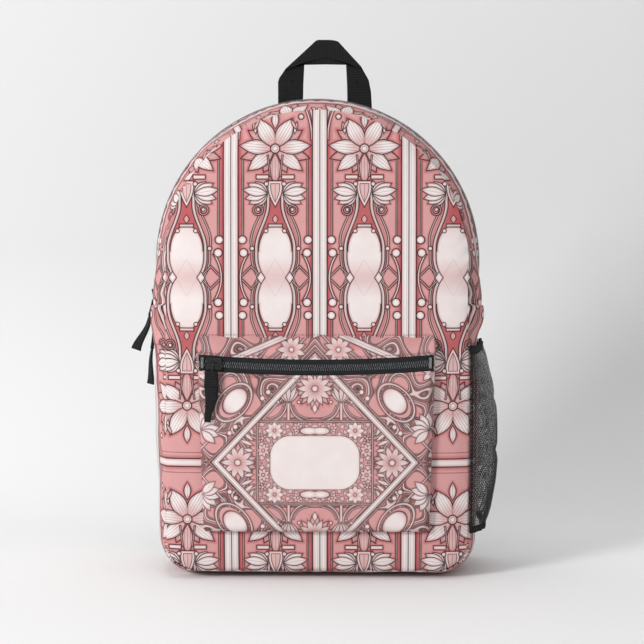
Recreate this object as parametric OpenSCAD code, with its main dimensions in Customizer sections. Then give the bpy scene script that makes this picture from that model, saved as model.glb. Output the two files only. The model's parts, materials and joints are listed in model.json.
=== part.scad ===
// School backpack with a front zip pocket, one mesh side pocket, a webbing grab handle and two padded straps.
// Millimetres. Origin: middle of the base. X to the wearer's right, -Y front, +Z up.

/* [Body] */
// Radius of the round top, measured on the main zip
arch_r = 155; // [154:1:158]
// Height of the centre of the round top
arch_z = 300.5; // [298:0.5:303]
// Half width of the sides at their widest
side_half_w = 158; // [156:1:159]
// Half width of the sides just above the rounded bottom corners
foot_half_w = 154; // [151:1:156]
// Radius of the bottom corners
corner_r = 36; // [32:1:42]
// Depth from the centre plane to the front seam, and to the back seam
half_depth = 68; // [64:1:72]
// How far the front seam lies inside the widest outline
front_inset = 12; // [8:1:14]
// How far the back seam lies inside the widest outline
back_inset = 7; // [4:1:10]
// Thickness of the sewn fabric walls with their lining
wall = 2; // [1.6:0.1:2.4]
// Thickness of the back panel's foam
back_foam_t = 6; // [4:1:7]

/* [Main zip] */
// Front-to-back place of the main zip
zip_y = -22; // [-24:1:-20]
// Height where the zip's round stretch turns into the straight side
zip_arc_end_z = 260; // [258:1:262]
// Height of the zip's lower ends
zip_end_z = 224; // [222:1:226]
// Height of the upper slider at rest
upper_slider_z = 270; // [269:1:272]
// Height of the lower slider at rest
lower_slider_z = 237; // [236:1:238]
// Height of the fold that the open front hangs from
fold_z = 238; // [236:1:240]
// Height above which the front tape leaves with the open front
loose_tape_z = 284; // [282:1:288]

/* [Front pocket] */
// Half width of the pocket at its zip
pocket_half_w = 111; // [108:1:113]
// Half width of the pocket at its bottom
pocket_foot_half_w = 106; // [104:1:109]
// Height of the pocket's bottom seam
pocket_bottom_z = 47; // [43:1:50]
// Height of the pocket's top seam
pocket_top_z = 231; // [229:1:233]
// Height of the pocket zip at its middle
pocket_zip_z = 202; // [200:1:204]
// How far the pocket stands proud of the front panel
pocket_depth = 14; // [12:1:16]
// Radius of the sagging pocket zip
pocket_zip_r = 1300; // [1250:10:1350]
// How far the pocket slider is parked from the middle
pocket_slider_x = 96; // [94:1:99]

/* [Webbing and straps] */
// Width of the webbing
webbing_w = 25; // [24:1:26]
// Thickness of the webbing
webbing_t = 1.6; // [1.4:0.1:2]
// Height of the top of the grab handle
handle_top_z = 521; // [514:1:526]
// Distance of each handle leg from the middle
handle_leg_x = 35; // [33:1:37]
// How far the handle is sewn from the middle
handle_x = 6; // [0:1:8]
// Height of the strap's seam in the yoke
strap_top_z = 402; // [398:1:406]
// Height of the lower end of the pad
strap_low_z = 152; // [148:1:158]
// Thickness of the strap pad
strap_t = 11; // [9:1:12]
// Height of the lower webbing's anchor
anchor_z = 30; // [28:1:32]

/* [Mesh pocket] */
// Height of the mesh pocket's bottom seam
mesh_bottom_z = 44; // [42:1:48]
// Height of the mesh pocket's rim
mesh_top_z = 222; // [218:1:222]
// How far the mesh stands out at its fullest
mesh_bulge = 17.5; // [14:0.5:19]

/* [Hidden] */

$fn = 48;
printed = "pink";
black = [0.07, 0.07, 0.08];
grey = [0.35, 0.35, 0.37];
foam = [0.75, 0.75, 0.72];
gap = 0.3;                      // clearance between pieces that move apart
arch_steps = 60;                // facets over the round top
far = 200;                       // beyond the bag on every side, for shapes that cut
layer_gap = 0.1;                 // left between two layers that are sewn together
cloth_t = 1.6;                   // the pocket's cloth
sleeve_half_w = 128;             // laptop sleeve
sleeve_foot_z = 14;
sleeve_top_z = 300;
sleeve_r = 12;
sleeve_t = 1;
sleeve_foam_t = 3.8;
sleeve_edge = 2;                 // sleeve cloth showing round its foam
band_half_w = 112;               // binding over the sleeve's top edge
band_z = [297, 304];
band_slot_z = [296, 300.5];
binding_in = 2;                  // seam bindings lie inside the cloth, from here
binding_out = 3.1;               // to here
binding_foot_z = 60;
binding_w = 9;
zip_grip_t = 0.05;               // coil's foot above its tape
stop_half_h = 5;
stop_half_w = 1.2;
yoke_half_w = 92;                // panel the straps are sewn to
yoke_top_z = 430;
yoke_t = 2.5;
patch_half_w = 52;               // patch that holds the handle
patch_z = [430.5, 447];
patch_t = 1.5;
rim_h = 7;                       // binding over the mesh pocket's mouth
front_y = -half_depth;
back_y = half_depth;
sleeve_y = back_y - back_foam_t - 17;
panel_y = front_y - wall;       // outer face of the front panel
pocket_y = panel_y - pocket_depth;

// Main zip section: across the zip and outward from the cloth
tape_half = 10;
tape_in = 0.8;
tape_low = -1.4;
tape_high = -0.6;
coil_half = 4;
pocket_tape_half = 8;
coil_high = 1.9;

// Angles of the round stretch, counted from +X towards +Z
arc_end_a = asin((zip_arc_end_z - arch_z) / arch_r);
loose_a = asin((loose_tape_z - arch_z) / arch_r);
slider_a = 180 - asin((upper_slider_z - arch_z) / arch_r);
arc_end_x = arch_r * cos(arc_end_a);
widest_z = 185;
side_lean = atan((side_half_w - arc_end_x) / (zip_arc_end_z - widest_z));

// Half width of the side at height z, below the round top
function side_x(z) =
    z > widest_z ? side_half_w - (z - widest_z) * tan(side_lean)
                 : foot_half_w + (side_half_w - foot_half_w) * (z - corner_r) / (widest_z - corner_r);

// Outline points: [x, z, outward x, outward z, share of the inset that applies]
function arch_path(a0, a1, n) =
    [for (i = [0:n]) let (a = a0 + (a1 - a0) * i / n)
        [arch_r * cos(a), arch_z + arch_r * sin(a), cos(a), sin(a), 1]];
function side_path(s, z0, z1, n) =
    [for (i = [0:n]) let (z = z0 + (z1 - z0) * i / n) [s * side_x(z), z, s, 0, 1]];
function corner_path(s, a0, a1, n) =
    [for (i = [0:n]) let (a = a0 + (a1 - a0) * i / n)
        [s * (foot_half_w - corner_r + corner_r * cos(a)), corner_r - corner_r * sin(a),
         s * cos(a), -sin(a), 1 - 0.4 * a / 90]];
function reversed(list) = [for (i = [len(list) - 1:-1:0]) list[i]];

// How far the wall lies inside the widest outline at depth y: a soft pillow edge front and back
function inset(y) =
    y < zip_y ? front_inset * pow((zip_y - y) / (zip_y - front_y), 2.2)
              : y > 30 ? back_inset * pow((y - 30) / (back_y - 30), 2) : 0;
function on_bag(p, y, t) =
    let (u = -inset(y) * p[4] - t) [p[0] + p[2] * u, y, p[1] + p[3] * u];

// A closed solid through loops of equal length; each cap is a strip between the loop's two halves
module loft(loops) {
    n = len(loops[0]);
    m = len(loops);
    points = [for (l = loops) for (p = l) p];
    sides = [for (i = [0:m - 2]) for (j = [0:n - 1]) let (a = i * n + j, b = i * n + (j + 1) % n)
        each [[a, b, b + n], [a, b + n, a + n]]];
    e = (m - 1) * n;
    caps = [for (j = [0:n / 2 - 2]) let (a = j, b = j + 1, c = n - 2 - j, d = n - 1 - j)
        each [[a, c, b], [a, d, c], [e + a, e + b, e + c], [e + a, e + c, e + d]]];
    polyhedron(points, concat(sides, caps), convexity = 6);
}

// A wall that follows the outline between depths y0 and y1, from t0 to t1 below the surface
module wall_band(path, y0, y1, t0, t1, n = 4) {
    ys = [for (i = [0:n]) y0 + (y1 - y0) * i / n];
    loft([for (p = path) concat([for (y = ys) on_bag(p, y, t0)], [for (y = reversed(ys)) on_bag(p, y, t1)])]);
}

// The right-hand piece as it is, or its mirror image on the left, or both
module on_side(side) mirror([side < 0 ? 1 : 0, 0, 0]) children();
module both_sides() for (s = [-1, 1]) on_side(s) children();

// Flat panel outline at the seam inset d, as [x, z]
function outline(d) =
    let (path = concat(arch_path(arc_end_a, 180 - arc_end_a, arch_steps),
                       side_path(-1, zip_arc_end_z - 12, corner_r, 6), corner_path(-1, 10, 90, 7),
                       reversed(corner_path(1, 10, 90, 7)), side_path(1, corner_r, zip_arc_end_z - 12, 6)))
    [for (p = path) [p[0] - p[2] * d * p[4], p[1] - p[3] * d * p[4]]];

// A plate in the XZ plane with its outer face at y0 and its inner face at y1
module upright(y0, y1) translate([0, y1, 0]) rotate([90, 0, 0]) linear_extrude(y1 - y0) children();
module rect(x0, z0, x1, z1) translate([x0, z0]) square([x1 - x0, z1 - z0]);
module rounded(x0, z0, x1, z1, r) {
    rect(x0 + r, z0, x1 - r, z1);
    rect(x0, z0 + r, x1, z1 - r);
    for (x = [x0 + r, x1 - r]) for (z = [z0 + r, z1 - r]) translate([x, z]) circle(r);
}

// ---------------------------------------------------------------- body
module base_gusset() color(printed)
    wall_band(concat(side_path(1, mesh_top_z, corner_r, 6), corner_path(1, 5, 85, 8),
                     [for (x = [100, 50, 0, -50, -100]) [x, 0, 0, -1, 0.6]],
                     reversed(corner_path(-1, 5, 85, 8)), side_path(-1, corner_r, mesh_top_z, 6)),
              front_y, back_y, 0, wall, 8);

module front_panel_lower() color(printed)
    upright(panel_y, front_y - layer_gap) intersection() {
        polygon(outline(front_inset));
        rect(-far, -far, far, fold_z - 1);
    }

module front_panel_upper() color(printed)
    upright(panel_y, front_y - layer_gap) intersection() {
        polygon(outline(front_inset));
        rect(-far, fold_z, far, 3 * far);
    }

module front_gusset_lower() color(printed) both_sides()
    wall_band(side_path(1, zip_end_z, fold_z - 1, 1), front_y, zip_y - tape_half - gap, 0, wall, 4);

module front_gusset_upper() color(printed)
    wall_band(concat(side_path(1, fold_z + 1, zip_arc_end_z - 1, 2),
                     arch_path(arc_end_a, 180 - arc_end_a, arch_steps),
                     side_path(-1, zip_arc_end_z - 1, fold_z + 1, 2)),
              front_y, zip_y - tape_half - gap, 0, wall, 4);

module rear_gusset_strip() color(printed)
    wall_band(concat(side_path(1, zip_end_z, zip_arc_end_z - 1, 2),
                     arch_path(arc_end_a, 180 - arc_end_a, arch_steps),
                     side_path(-1, zip_arc_end_z - 1, zip_end_z, 2)),
              zip_y + tape_half + gap, back_y, 0, wall, 5);

module back_panel() color(black)
    upright(back_y + layer_gap, back_y + wall) polygon(outline(back_inset));

module back_foam() color(foam)
    upright(back_y - back_foam_t, back_y) intersection() {
        polygon(outline(back_inset + wall + 6));
        rect(-far, 8, far, 3 * far);
    }

module laptop_sleeve() color(grey)
    upright(sleeve_y, sleeve_y + sleeve_t)
        rounded(-sleeve_half_w, sleeve_foot_z, sleeve_half_w, sleeve_top_z, sleeve_r);

module sleeve_foam() color(foam)
    upright(sleeve_y + sleeve_t + 2 * layer_gap, sleeve_y + sleeve_t + 2 * layer_gap + sleeve_foam_t)
        rounded(sleeve_edge - sleeve_half_w, sleeve_foot_z + sleeve_edge, sleeve_half_w - sleeve_edge,
                band_slot_z[0], sleeve_r);

module sleeve_binding() color(black)
    upright(sleeve_y - 2, sleeve_y + 7) difference() {
        rect(-band_half_w, band_z[0], band_half_w, band_z[1]);
        rect(-band_half_w, band_slot_z[0], band_half_w, band_slot_z[1]);
    }

module rear_seam_binding() color(black)
    wall_band(concat(side_path(1, binding_foot_z, zip_arc_end_z - 1, 4),
                     arch_path(arc_end_a, 180 - arc_end_a, 48),
                     side_path(-1, zip_arc_end_z - 1, binding_foot_z, 4)),
              back_y - 1 - binding_w, back_y - 1, wall + binding_in, wall + binding_out, 2);

module front_seam_binding() color(black) both_sides()
    wall_band(side_path(1, binding_foot_z, fold_z - 4, 4), front_y + 1, front_y + binding_w,
              wall + binding_in, wall + binding_out, 2);

// ---------------------------------------------------------------- front pocket
// Height of the sagging pocket zip at x
function pocket_sag(x) = pocket_zip_z + pocket_zip_r - sqrt(pocket_zip_r * pocket_zip_r - x * x);

// A strip along the sagging zip: a section of [y, height above the zip line] carried from x0 to x1
module pocket_strip(x0, x1, section, n = 20)
    loft([for (i = [0:n]) let (x = x0 + (x1 - x0) * i / n)
        [for (s = section) [x, s[0], pocket_sag(x) + s[1]]]]);

function box_section(y0, y1, z0, z1) = [[y0, z0], [y1, z0], [y1, z1], [y0, z1]];

// Outline of the pocket, set in by d: a little wider at the zip than at the bottom
function pocket_w(z) =
    pocket_foot_half_w
    + (pocket_half_w - pocket_foot_half_w) * (z - pocket_bottom_z) / (pocket_zip_z - pocket_bottom_z);
module pocket_shape(d) offset(r = 10 - d) offset(delta = -10)
    polygon([[-pocket_w(pocket_bottom_z), pocket_bottom_z], [pocket_w(pocket_bottom_z), pocket_bottom_z],
             [pocket_w(270), 270], [-pocket_w(270), 270]]);

module pocket_panel() color(printed)
    upright(pocket_y, pocket_y + cloth_t) intersection() {
        pocket_shape(0);
        polygon(concat([[-150, 0]], [for (x = [-150:15:150]) [x, pocket_sag(x) - pocket_tape_half + 1]],
                       [[150, 0]]));
    }

// The strip above the zip leans back from the zip to the top seam
module pocket_top_strip() color(printed)
    loft([for (i = [0:20])
        let (x = -pocket_half_w + 2 * pocket_half_w * i / 20, z = pocket_sag(x) + pocket_tape_half - 1)
        [[x, pocket_y, z], [x, pocket_y + cloth_t, z], [x, panel_y - 0.2, pocket_top_z - 3],
         [x, panel_y - 0.2, pocket_top_z]]]);

module pocket_gusset() color(printed)
    upright(pocket_y + cloth_t + layer_gap, panel_y - layer_gap) difference() {
        pocket_shape(0);
        pocket_shape(cloth_t);
        rect(-far, pocket_sag(pocket_half_w) - pocket_tape_half, far, 2 * far);
    }

module pocket_lining() color(grey)
    upright(panel_y - 0.8 - layer_gap, panel_y - layer_gap) intersection() {
        pocket_shape(3);
        rect(-far, 0, far, pocket_top_z - 18);
    }

function out(u) = pocket_y - u;   // depth of a height u above the pocket's cloth

module pocket_zip_tape(s) color(black)
    pocket_strip(2 - pocket_half_w, pocket_half_w - 2,
                 s > 0 ? box_section(out(tape_high), out(tape_low), tape_in, pocket_tape_half - 1.2)
                       : box_section(out(tape_high), out(tape_low), 1.2 - pocket_tape_half, -tape_in));
module pocket_zip_tape_upper() pocket_zip_tape(1);
module pocket_zip_tape_lower() pocket_zip_tape(-1);

module pocket_zip_coil(s) color(black)
    pocket_strip(6 - pocket_half_w, pocket_half_w - 6,
                 s > 0 ? box_section(out(coil_high), out(tape_high) - zip_grip_t, tape_in, coil_half)
                       : box_section(out(coil_high), out(tape_high) - zip_grip_t, -coil_half, -tape_in));
module pocket_zip_coil_upper() pocket_zip_coil(1);
module pocket_zip_coil_lower() pocket_zip_coil(-1);

module pocket_zip_stops() color(black)
    for (s = [-1, 1]) translate([s * (pocket_half_w - 4.2), 0, pocket_sag(pocket_half_w)])
        upright(out(coil_high), out(tape_high) - zip_grip_t) rect(-stop_half_w, -stop_half_h, stop_half_w,
                  stop_half_h);

// ---------------------------------------------------------------- main zip
function zip_section(s, v0, v1, u0, u1) =
    s > 0 ? [[zip_y + v0, u0], [zip_y + v1, u0], [zip_y + v1, u1], [zip_y + v0, u1]]
          : [[zip_y - v1, u0], [zip_y - v0, u0], [zip_y - v0, u1], [zip_y - v1, u1]];
module zip_band(path, section)
    loft([for (p = path) [for (s = section) [p[0] + p[2] * s[1], s[0], p[1] + p[3] * s[1]]]]);
// The right side's zip from its lower end up to where the loose stretch begins
function zip_end_path() =
    concat(side_path(1, zip_end_z, zip_arc_end_z - 1, 2), arch_path(arc_end_a, loose_a - 0.15, 5));
function zip_whole_path() =
    concat(side_path(1, zip_end_z, zip_arc_end_z - 1, 2), arch_path(arc_end_a, 180 - arc_end_a, arch_steps),
           side_path(-1, zip_arc_end_z - 1, zip_end_z, 2));
function zip_loose_path() = arch_path(loose_a, 180 - loose_a, arch_steps);

module main_zip_tape_rear() color(black)
    zip_band(zip_whole_path(), zip_section(1, tape_in, tape_half, tape_low, tape_high));
module main_zip_coil_rear() color(black)
    zip_band(zip_whole_path(), zip_section(1, tape_in, coil_half, tape_high + zip_grip_t, coil_high));
module main_zip_tape_front() color(black)
    zip_band(zip_loose_path(), zip_section(-1, tape_in, tape_half, tape_low, tape_high));
module main_zip_coil_front() color(black)
    zip_band(zip_loose_path(), zip_section(-1, tape_in, coil_half, tape_high + zip_grip_t, coil_high));
module main_zip_tape_front_ends() color(black) both_sides()
    zip_band(zip_end_path(), zip_section(-1, tape_in, tape_half, tape_low, tape_high));
module main_zip_coil_front_ends() color(black) both_sides()
    zip_band(zip_end_path(), zip_section(-1, tape_in, coil_half, tape_high + zip_grip_t, coil_high));
module main_zip_stops() color(black)
    for (s = [-1, 1]) translate([s * (side_x(zip_end_z) + 0.7), zip_y, zip_end_z - 1])
        cube([3, 9, 1.6], center = true);

// ---------------------------------------------------------------- sliders and pullers
// Local frame of a slider: X along its travel, Y across the zip, Z outward from the cloth
plate_len = 15;
plate_half_w = 6;
plate_low = 2.3;
plate_high = 3.6;
bridge_high = 7.8;
bridge_half_w = 0.9;
ring_z = 5.0;                    // height of the pull ring's pivot in the main sliders
ring_reach = 8;
wire_r = 0.6;
ring_half_w = 4.6;               // from the ring's middle to its side wires
bar_z = 7.1;                     // middle of the bridge's bar, which the pocket's ring hangs from

module slider() {
    translate([0, 0, plate_low]) linear_extrude(plate_high - plate_low)
        rounded(-plate_len / 2, -plate_half_w, plate_len / 2, plate_half_w, 3);
    translate([0, 0, -3.2]) linear_extrude(1.3) rounded(-plate_len / 2, -5.2, plate_len / 2, 5.2, 3);
    translate([4.2, -0.4, -2.2]) cube([2.4, 0.8, 4.8]);
    for (s = [-1, 1]) translate([-4.5, s * 5.3 - 0.7, -0.2]) cube([9, 1.4, 2.8]);
    for (s = [-1, 1]) translate([s * 4.2 - 0.8, -bridge_half_w, plate_high - 0.1])
        cube([1.6, 2 * bridge_half_w, bridge_high - plate_high + 0.1]);
    translate([-5, -bridge_half_w, 6.4]) cube([10, 2 * bridge_half_w, bridge_high - 6.4]);
}

// Wire ring across the bridge: one bar through it, two arms, one bar in the puller
module cross_ring(lift) translate([0, 0, ring_z]) rotate([0, lift, 0]) {
    for (x = [0, -ring_reach]) translate([x, 0, 0]) rotate([90, 0, 0])
        cylinder(r = wire_r, h = 2 * ring_half_w + 2 * wire_r, center = true);
    for (s = [-1, 1]) translate([-ring_reach, s * ring_half_w, 0]) rotate([0, 90, 0])
        cylinder(r = wire_r, h = ring_reach);
}

// Folded webbing puller, hanging along -X from its ring: a doubled head and a narrowing tail
module puller_webbing(len, t0 = 3, t1 = 1.5) difference() {
    union() {
        linear_extrude(t0, center = true) polygon([[0, -3.5], [0, 3.5], [-13, 6.2], [-13, -6.2]]);
        linear_extrude(t1, center = true) polygon([[-12, -5.4], [-12, 5.4], [-len, 4.2], [-len, -4.2]]);
    }
    children();
}
module cross_puller(lift) translate([0, 0, ring_z]) rotate([0, lift, 0]) {
    translate([-ring_reach + 1.4, 0, 0]) puller_webbing(50)
        translate([-1.4, 0, 0]) rotate([90, 0, 0]) cylinder(r = wire_r + 0.05, h = 20, center = true);
}

// Places on the bag
module at_arch(a)
    translate([arch_r * cos(a), zip_y, arch_z + arch_r * sin(a)]) rotate([0, 90 - a, 0]) children();
module at_left_side(z) translate([-side_x(z), zip_y, z]) rotate([0, -90 + side_lean, 0]) children();
pocket_slider_b = -asin(pocket_slider_x / pocket_zip_r);
module at_pocket_zip(b)
    translate([pocket_zip_r * sin(b), pocket_y, pocket_zip_z + pocket_zip_r * (1 - cos(b))])
        rotate([0, -b, 0]) rotate([90, 0, 0]) children();

upper_lift = 25;
lower_lift = 2;
module main_slider_upper() color(black) at_arch(slider_a) slider();
module upper_pull_ring() color(black) at_arch(slider_a) cross_ring(upper_lift);
module upper_puller() color(black) at_arch(slider_a) cross_puller(upper_lift);
module main_slider_lower() color(black) at_left_side(lower_slider_z) slider();
module lower_pull_ring() color(black) at_left_side(lower_slider_z) cross_ring(lower_lift);
module lower_puller() color(black) at_left_side(lower_slider_z) cross_puller(lower_lift);
module pocket_slider() color(black) at_pocket_zip(pocket_slider_b) slider();

// Wire loop that hangs from the bridge's bar, and its puller straight below
loop_r = 1.9;
loop_reach = 8;
module hanging_frame() at_pocket_zip(pocket_slider_b) translate([0, 0, bar_z]) children();
module pocket_pull_ring() color(black) hanging_frame() {
    rotate([0, 90, 0]) rotate_extrude(angle = 180, start = 0) translate([loop_r, 0]) circle(wire_r, $fn = 24);
    for (s = [-1, 1]) translate([0, -loop_reach, s * loop_r]) rotate([-90, 0, 0])
        cylinder(r = wire_r, h = loop_reach);
    translate([0, -loop_reach, 0]) cylinder(r = wire_r, h = 2 * loop_r + 2 * wire_r, center = true);
}
module pocket_puller() color(black) hanging_frame()
    translate([0, -loop_reach + 2, 0]) rotate([0, 0, 90]) puller_webbing(50, 2.4)
        translate([-2, 0, 0]) cylinder(r = wire_r + 0.05, h = 20, center = true);

// ---------------------------------------------------------------- mesh pocket
mesh_half_y = 64;
mesh_t = 1;
mesh_steps_y = 12;
mesh_steps_z = 10;
// Share of the full bulge at height share h (0 bottom, 1 rim) and depth share w (-1 front, 1 back)
function mesh_out(h, w) =
    (0.2 + 0.8 * pow(abs(sin(180 * pow(h, 0.76))), 0.9)) * mesh_bulge * (1 - pow(abs(w), 2.4));
function mesh_point(w, z, t) =
    let (y = w * mesh_half_y, h = (z - mesh_bottom_z) / (mesh_top_z - mesh_bottom_z))
    [side_x(z) - inset(y) + 0.4 + t + mesh_out(h, w), y, z];
module mesh_shell(z0, z1, t0, t1, n)
    loft([for (i = [0:n]) let (z = z0 + (z1 - z0) * i / n)
        concat([for (j = [0:mesh_steps_y]) mesh_point(2 * j / mesh_steps_y - 1, z, t1)],
               [for (j = [mesh_steps_y:-1:0]) mesh_point(2 * j / mesh_steps_y - 1, z, t0)])]);
module mesh_pocket() color(grey) mesh_shell(mesh_bottom_z, mesh_top_z, 0, mesh_t, mesh_steps_z);
module mesh_pocket_binding() color(black)
    mesh_shell(mesh_top_z - rim_h, mesh_top_z, mesh_t + 0.35, mesh_t + 1.4, 2);

// ---------------------------------------------------------------- back, handle and straps
yoke_y = back_y + wall;
module strap_yoke() color(black) upright(yoke_y + layer_gap, yoke_y + layer_gap + yoke_t) intersection() {
    rounded(-yoke_half_w, strap_top_z + 1.5, yoke_half_w, yoke_top_z, 6);
    polygon(outline(back_inset + 2));
}
module handle_patch() color(black) upright(yoke_y + layer_gap, yoke_y + layer_gap + patch_t) intersection() {
    rounded(handle_x - patch_half_w, patch_z[0], handle_x + patch_half_w, patch_z[1], 3);
    polygon(outline(back_inset + 2));
}

handle_y = yoke_y - 1;
handle_z = 449.5;                // the handle's fold line
handle_leg_out = handle_leg_x + webbing_w / 2;
handle_leg_in = handle_leg_x - webbing_w / 2;
// Webbing up, folded over at each upper corner, across and down again
module top_handle() color(black) translate([handle_x, 0, 0])
    upright(handle_y - webbing_t / 2, handle_y + webbing_t / 2) difference() {
        polygon([[-handle_leg_out, handle_z + 3.6], [handle_leg_out, handle_z + 3.6],
                 [handle_leg_out - 3, handle_top_z - 41], [handle_leg_out - 9, handle_top_z - 29],
                 [13, handle_top_z - 2], [5, handle_top_z], [-8, handle_top_z],
                 [5 - handle_leg_out, handle_top_z - 31], [-handle_leg_out, handle_top_z - 40]]);
        polygon([[-handle_leg_in, handle_z], [handle_leg_in, handle_z],
                 [handle_leg_in - 1.5, handle_top_z - webbing_w],
                 [1.5 - handle_leg_in, handle_top_z - webbing_w]]);
    }

pad_y = yoke_y + 4;              // inner face of the pad at its seam
pad_steps = 12;
pad_ring = 12;
// Centre of the pad at share s from the seam (0) to its lower end (1)
function pad_x(s) = 54 + 44 * s + 14 * sin(180 * s);
function pad_out(s) = pad_y + strap_t / 2 + 12 * sin(180 * s);
function pad_half_w(s) = 31 + 5 * sin(150 * s) - 10 * pow(s, 3);
function pad_z(s) = strap_top_z - (strap_top_z - strap_low_z) * s;
// A flat pad with rounded edges; t is how far the surface is set in
module pad(t, s0, s1)
    loft([for (i = [0:pad_steps])
        let (s = s0 + (s1 - s0) * i / pad_steps, w = pad_half_w(s) - t, h = strap_t / 2 - t)
        [for (j = [0:pad_ring - 1]) let (a = 360 * (j + 0.5) / pad_ring, c = cos(a), v = sin(a))
            [pad_x(s) + sign(c) * w * pow(abs(c), 0.45), pad_out(s) + sign(v) * h * pow(abs(v), 0.6),
             pad_z(s)]]]);
module strap_cover(side) color(black) on_side(side) difference() {
    pad(0, 0.012, 1);
    pad(1.2, 0.022, 0.99);
}
module strap_foam(side) color(foam) on_side(side) pad(1.35, 0.026, 0.986);
module strap_cover_left() strap_cover(-1);
module strap_cover_right() strap_cover(1);
module strap_foam_left() strap_foam(-1);
module strap_foam_right() strap_foam(1);

lock_x = pad_x(1);
lock_y = pad_out(1);
lock_top = strap_low_z - 6;
lock_h = 24;
lock_t = 4;
lock_half_w = 18;
// Short webbing loop that holds the ladder lock's top bar to the pad
module lock_tab(side) color(black) translate([side * lock_x, 0, 0])
    upright(lock_y - webbing_t / 2, lock_y + webbing_t / 2)
        rect(-webbing_w / 2, lock_top + layer_gap, webbing_w / 2, strap_low_z - layer_gap);
module lock_tab_left() lock_tab(-1);
module lock_tab_right() lock_tab(1);
module ladder_lock(side) color(black) translate([side * lock_x, 0, 0])
    upright(lock_y - lock_t / 2, lock_y + lock_t / 2) difference() {
        rounded(-lock_half_w, lock_top - lock_h, lock_half_w, lock_top, 3);
        rect(-webbing_w / 2 - 0.8, lock_top - 8.5, webbing_w / 2 + 0.8, lock_top - 4);
        rect(-webbing_w / 2 - 0.8, lock_top - 19.5, webbing_w / 2 + 0.8, lock_top - 13);
    }
module ladder_lock_left() ladder_lock(-1);
module ladder_lock_right() ladder_lock(1);

// Loose end of the webbing, hanging outside the lock
tail_len = 82;
module strap_tail(side) color(black) translate([side * lock_x, 0, 0])
    upright(lock_y + lock_t / 2 + layer_gap, lock_y + lock_t / 2 + layer_gap + webbing_t)
        rect(-webbing_w / 2, lock_top - 12 - tail_len, webbing_w / 2, lock_top - 10);
module strap_tail_left() strap_tail(-1);
module strap_tail_right() strap_tail(1);

anchor_x = 118;
anchor_y = yoke_y + 2;
web_top_z = lock_top - lock_h - 1.5;
// Webbing from the lock down to its anchor tab
module lower_webbing(side) color(black) on_side(side)
    loft([for (p = [[lock_x, lock_y, web_top_z], [anchor_x, anchor_y + 0.8, anchor_z]])
        [[p[0] - webbing_w / 2, p[1] - webbing_t / 2, p[2]],
         [p[0] - webbing_w / 2, p[1] + webbing_t / 2, p[2]],
         [p[0] + webbing_w / 2, p[1] + webbing_t / 2, p[2]],
         [p[0] + webbing_w / 2, p[1] - webbing_t / 2, p[2]]]]);
module lower_webbing_left() lower_webbing(-1);
module lower_webbing_right() lower_webbing(1);

// Sewn triangle of doubled fabric that holds the lower webbing's end
module anchor_tab(side) color(black) on_side(side)
    upright(yoke_y + layer_gap, yoke_y + 2.4)
        polygon([[anchor_x - 13, anchor_z - 2], [anchor_x + 13, anchor_z - 2],
                 [anchor_x + 22, anchor_z - 16], [anchor_x - 14, anchor_z - 16]]);
module anchor_tab_left() anchor_tab(-1);
module anchor_tab_right() anchor_tab(1);

base_gusset();
front_panel_lower();
front_gusset_lower();
rear_gusset_strip();
back_panel();
back_foam();
laptop_sleeve();
sleeve_foam();
sleeve_binding();
rear_seam_binding();
front_seam_binding();
pocket_panel();
pocket_top_strip();
pocket_gusset();
pocket_lining();
pocket_zip_tape_upper();
pocket_zip_tape_lower();
pocket_zip_coil_upper();
pocket_zip_coil_lower();
pocket_zip_stops();
main_zip_tape_rear();
main_zip_tape_front_ends();
main_zip_coil_rear();
main_zip_coil_front_ends();
main_zip_stops();
mesh_pocket();
mesh_pocket_binding();
strap_yoke();
handle_patch();
anchor_tab_left();
anchor_tab_right();
front_panel_upper();
front_gusset_upper();
main_zip_tape_front();
main_zip_coil_front();
main_slider_upper();
upper_pull_ring();
upper_puller();
main_slider_lower();
lower_pull_ring();
lower_puller();
pocket_slider();
pocket_pull_ring();
pocket_puller();
top_handle();
strap_cover_left();
strap_cover_right();
strap_foam_left();
strap_foam_right();
lock_tab_left();
lock_tab_right();
ladder_lock_left();
ladder_lock_right();
strap_tail_left();
strap_tail_right();
lower_webbing_left();
lower_webbing_right();
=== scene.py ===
"""School backpack with a printed ornamental cloth: its looks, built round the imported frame. In metres."""

import json
import math

import bpy
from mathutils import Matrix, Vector, noise


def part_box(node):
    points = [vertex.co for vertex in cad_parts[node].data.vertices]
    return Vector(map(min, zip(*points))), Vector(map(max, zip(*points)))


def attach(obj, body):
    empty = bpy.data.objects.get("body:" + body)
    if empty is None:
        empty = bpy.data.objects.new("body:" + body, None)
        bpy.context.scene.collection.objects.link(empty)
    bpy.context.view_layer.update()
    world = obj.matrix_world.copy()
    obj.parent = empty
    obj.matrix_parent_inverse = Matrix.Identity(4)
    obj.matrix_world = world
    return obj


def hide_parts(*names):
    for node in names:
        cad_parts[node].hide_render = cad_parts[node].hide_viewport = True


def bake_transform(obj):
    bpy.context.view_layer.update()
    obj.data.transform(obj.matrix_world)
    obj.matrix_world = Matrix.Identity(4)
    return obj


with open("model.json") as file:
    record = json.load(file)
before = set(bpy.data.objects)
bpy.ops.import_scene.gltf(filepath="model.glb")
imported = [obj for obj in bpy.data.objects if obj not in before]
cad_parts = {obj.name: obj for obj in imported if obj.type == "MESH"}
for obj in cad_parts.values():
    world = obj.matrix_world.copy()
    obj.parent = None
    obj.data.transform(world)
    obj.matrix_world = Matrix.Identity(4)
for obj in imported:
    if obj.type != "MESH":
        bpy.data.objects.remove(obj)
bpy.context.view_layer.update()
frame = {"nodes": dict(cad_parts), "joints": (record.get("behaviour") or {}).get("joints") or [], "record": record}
MM = 0.001
TAU = 2 * math.pi

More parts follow.
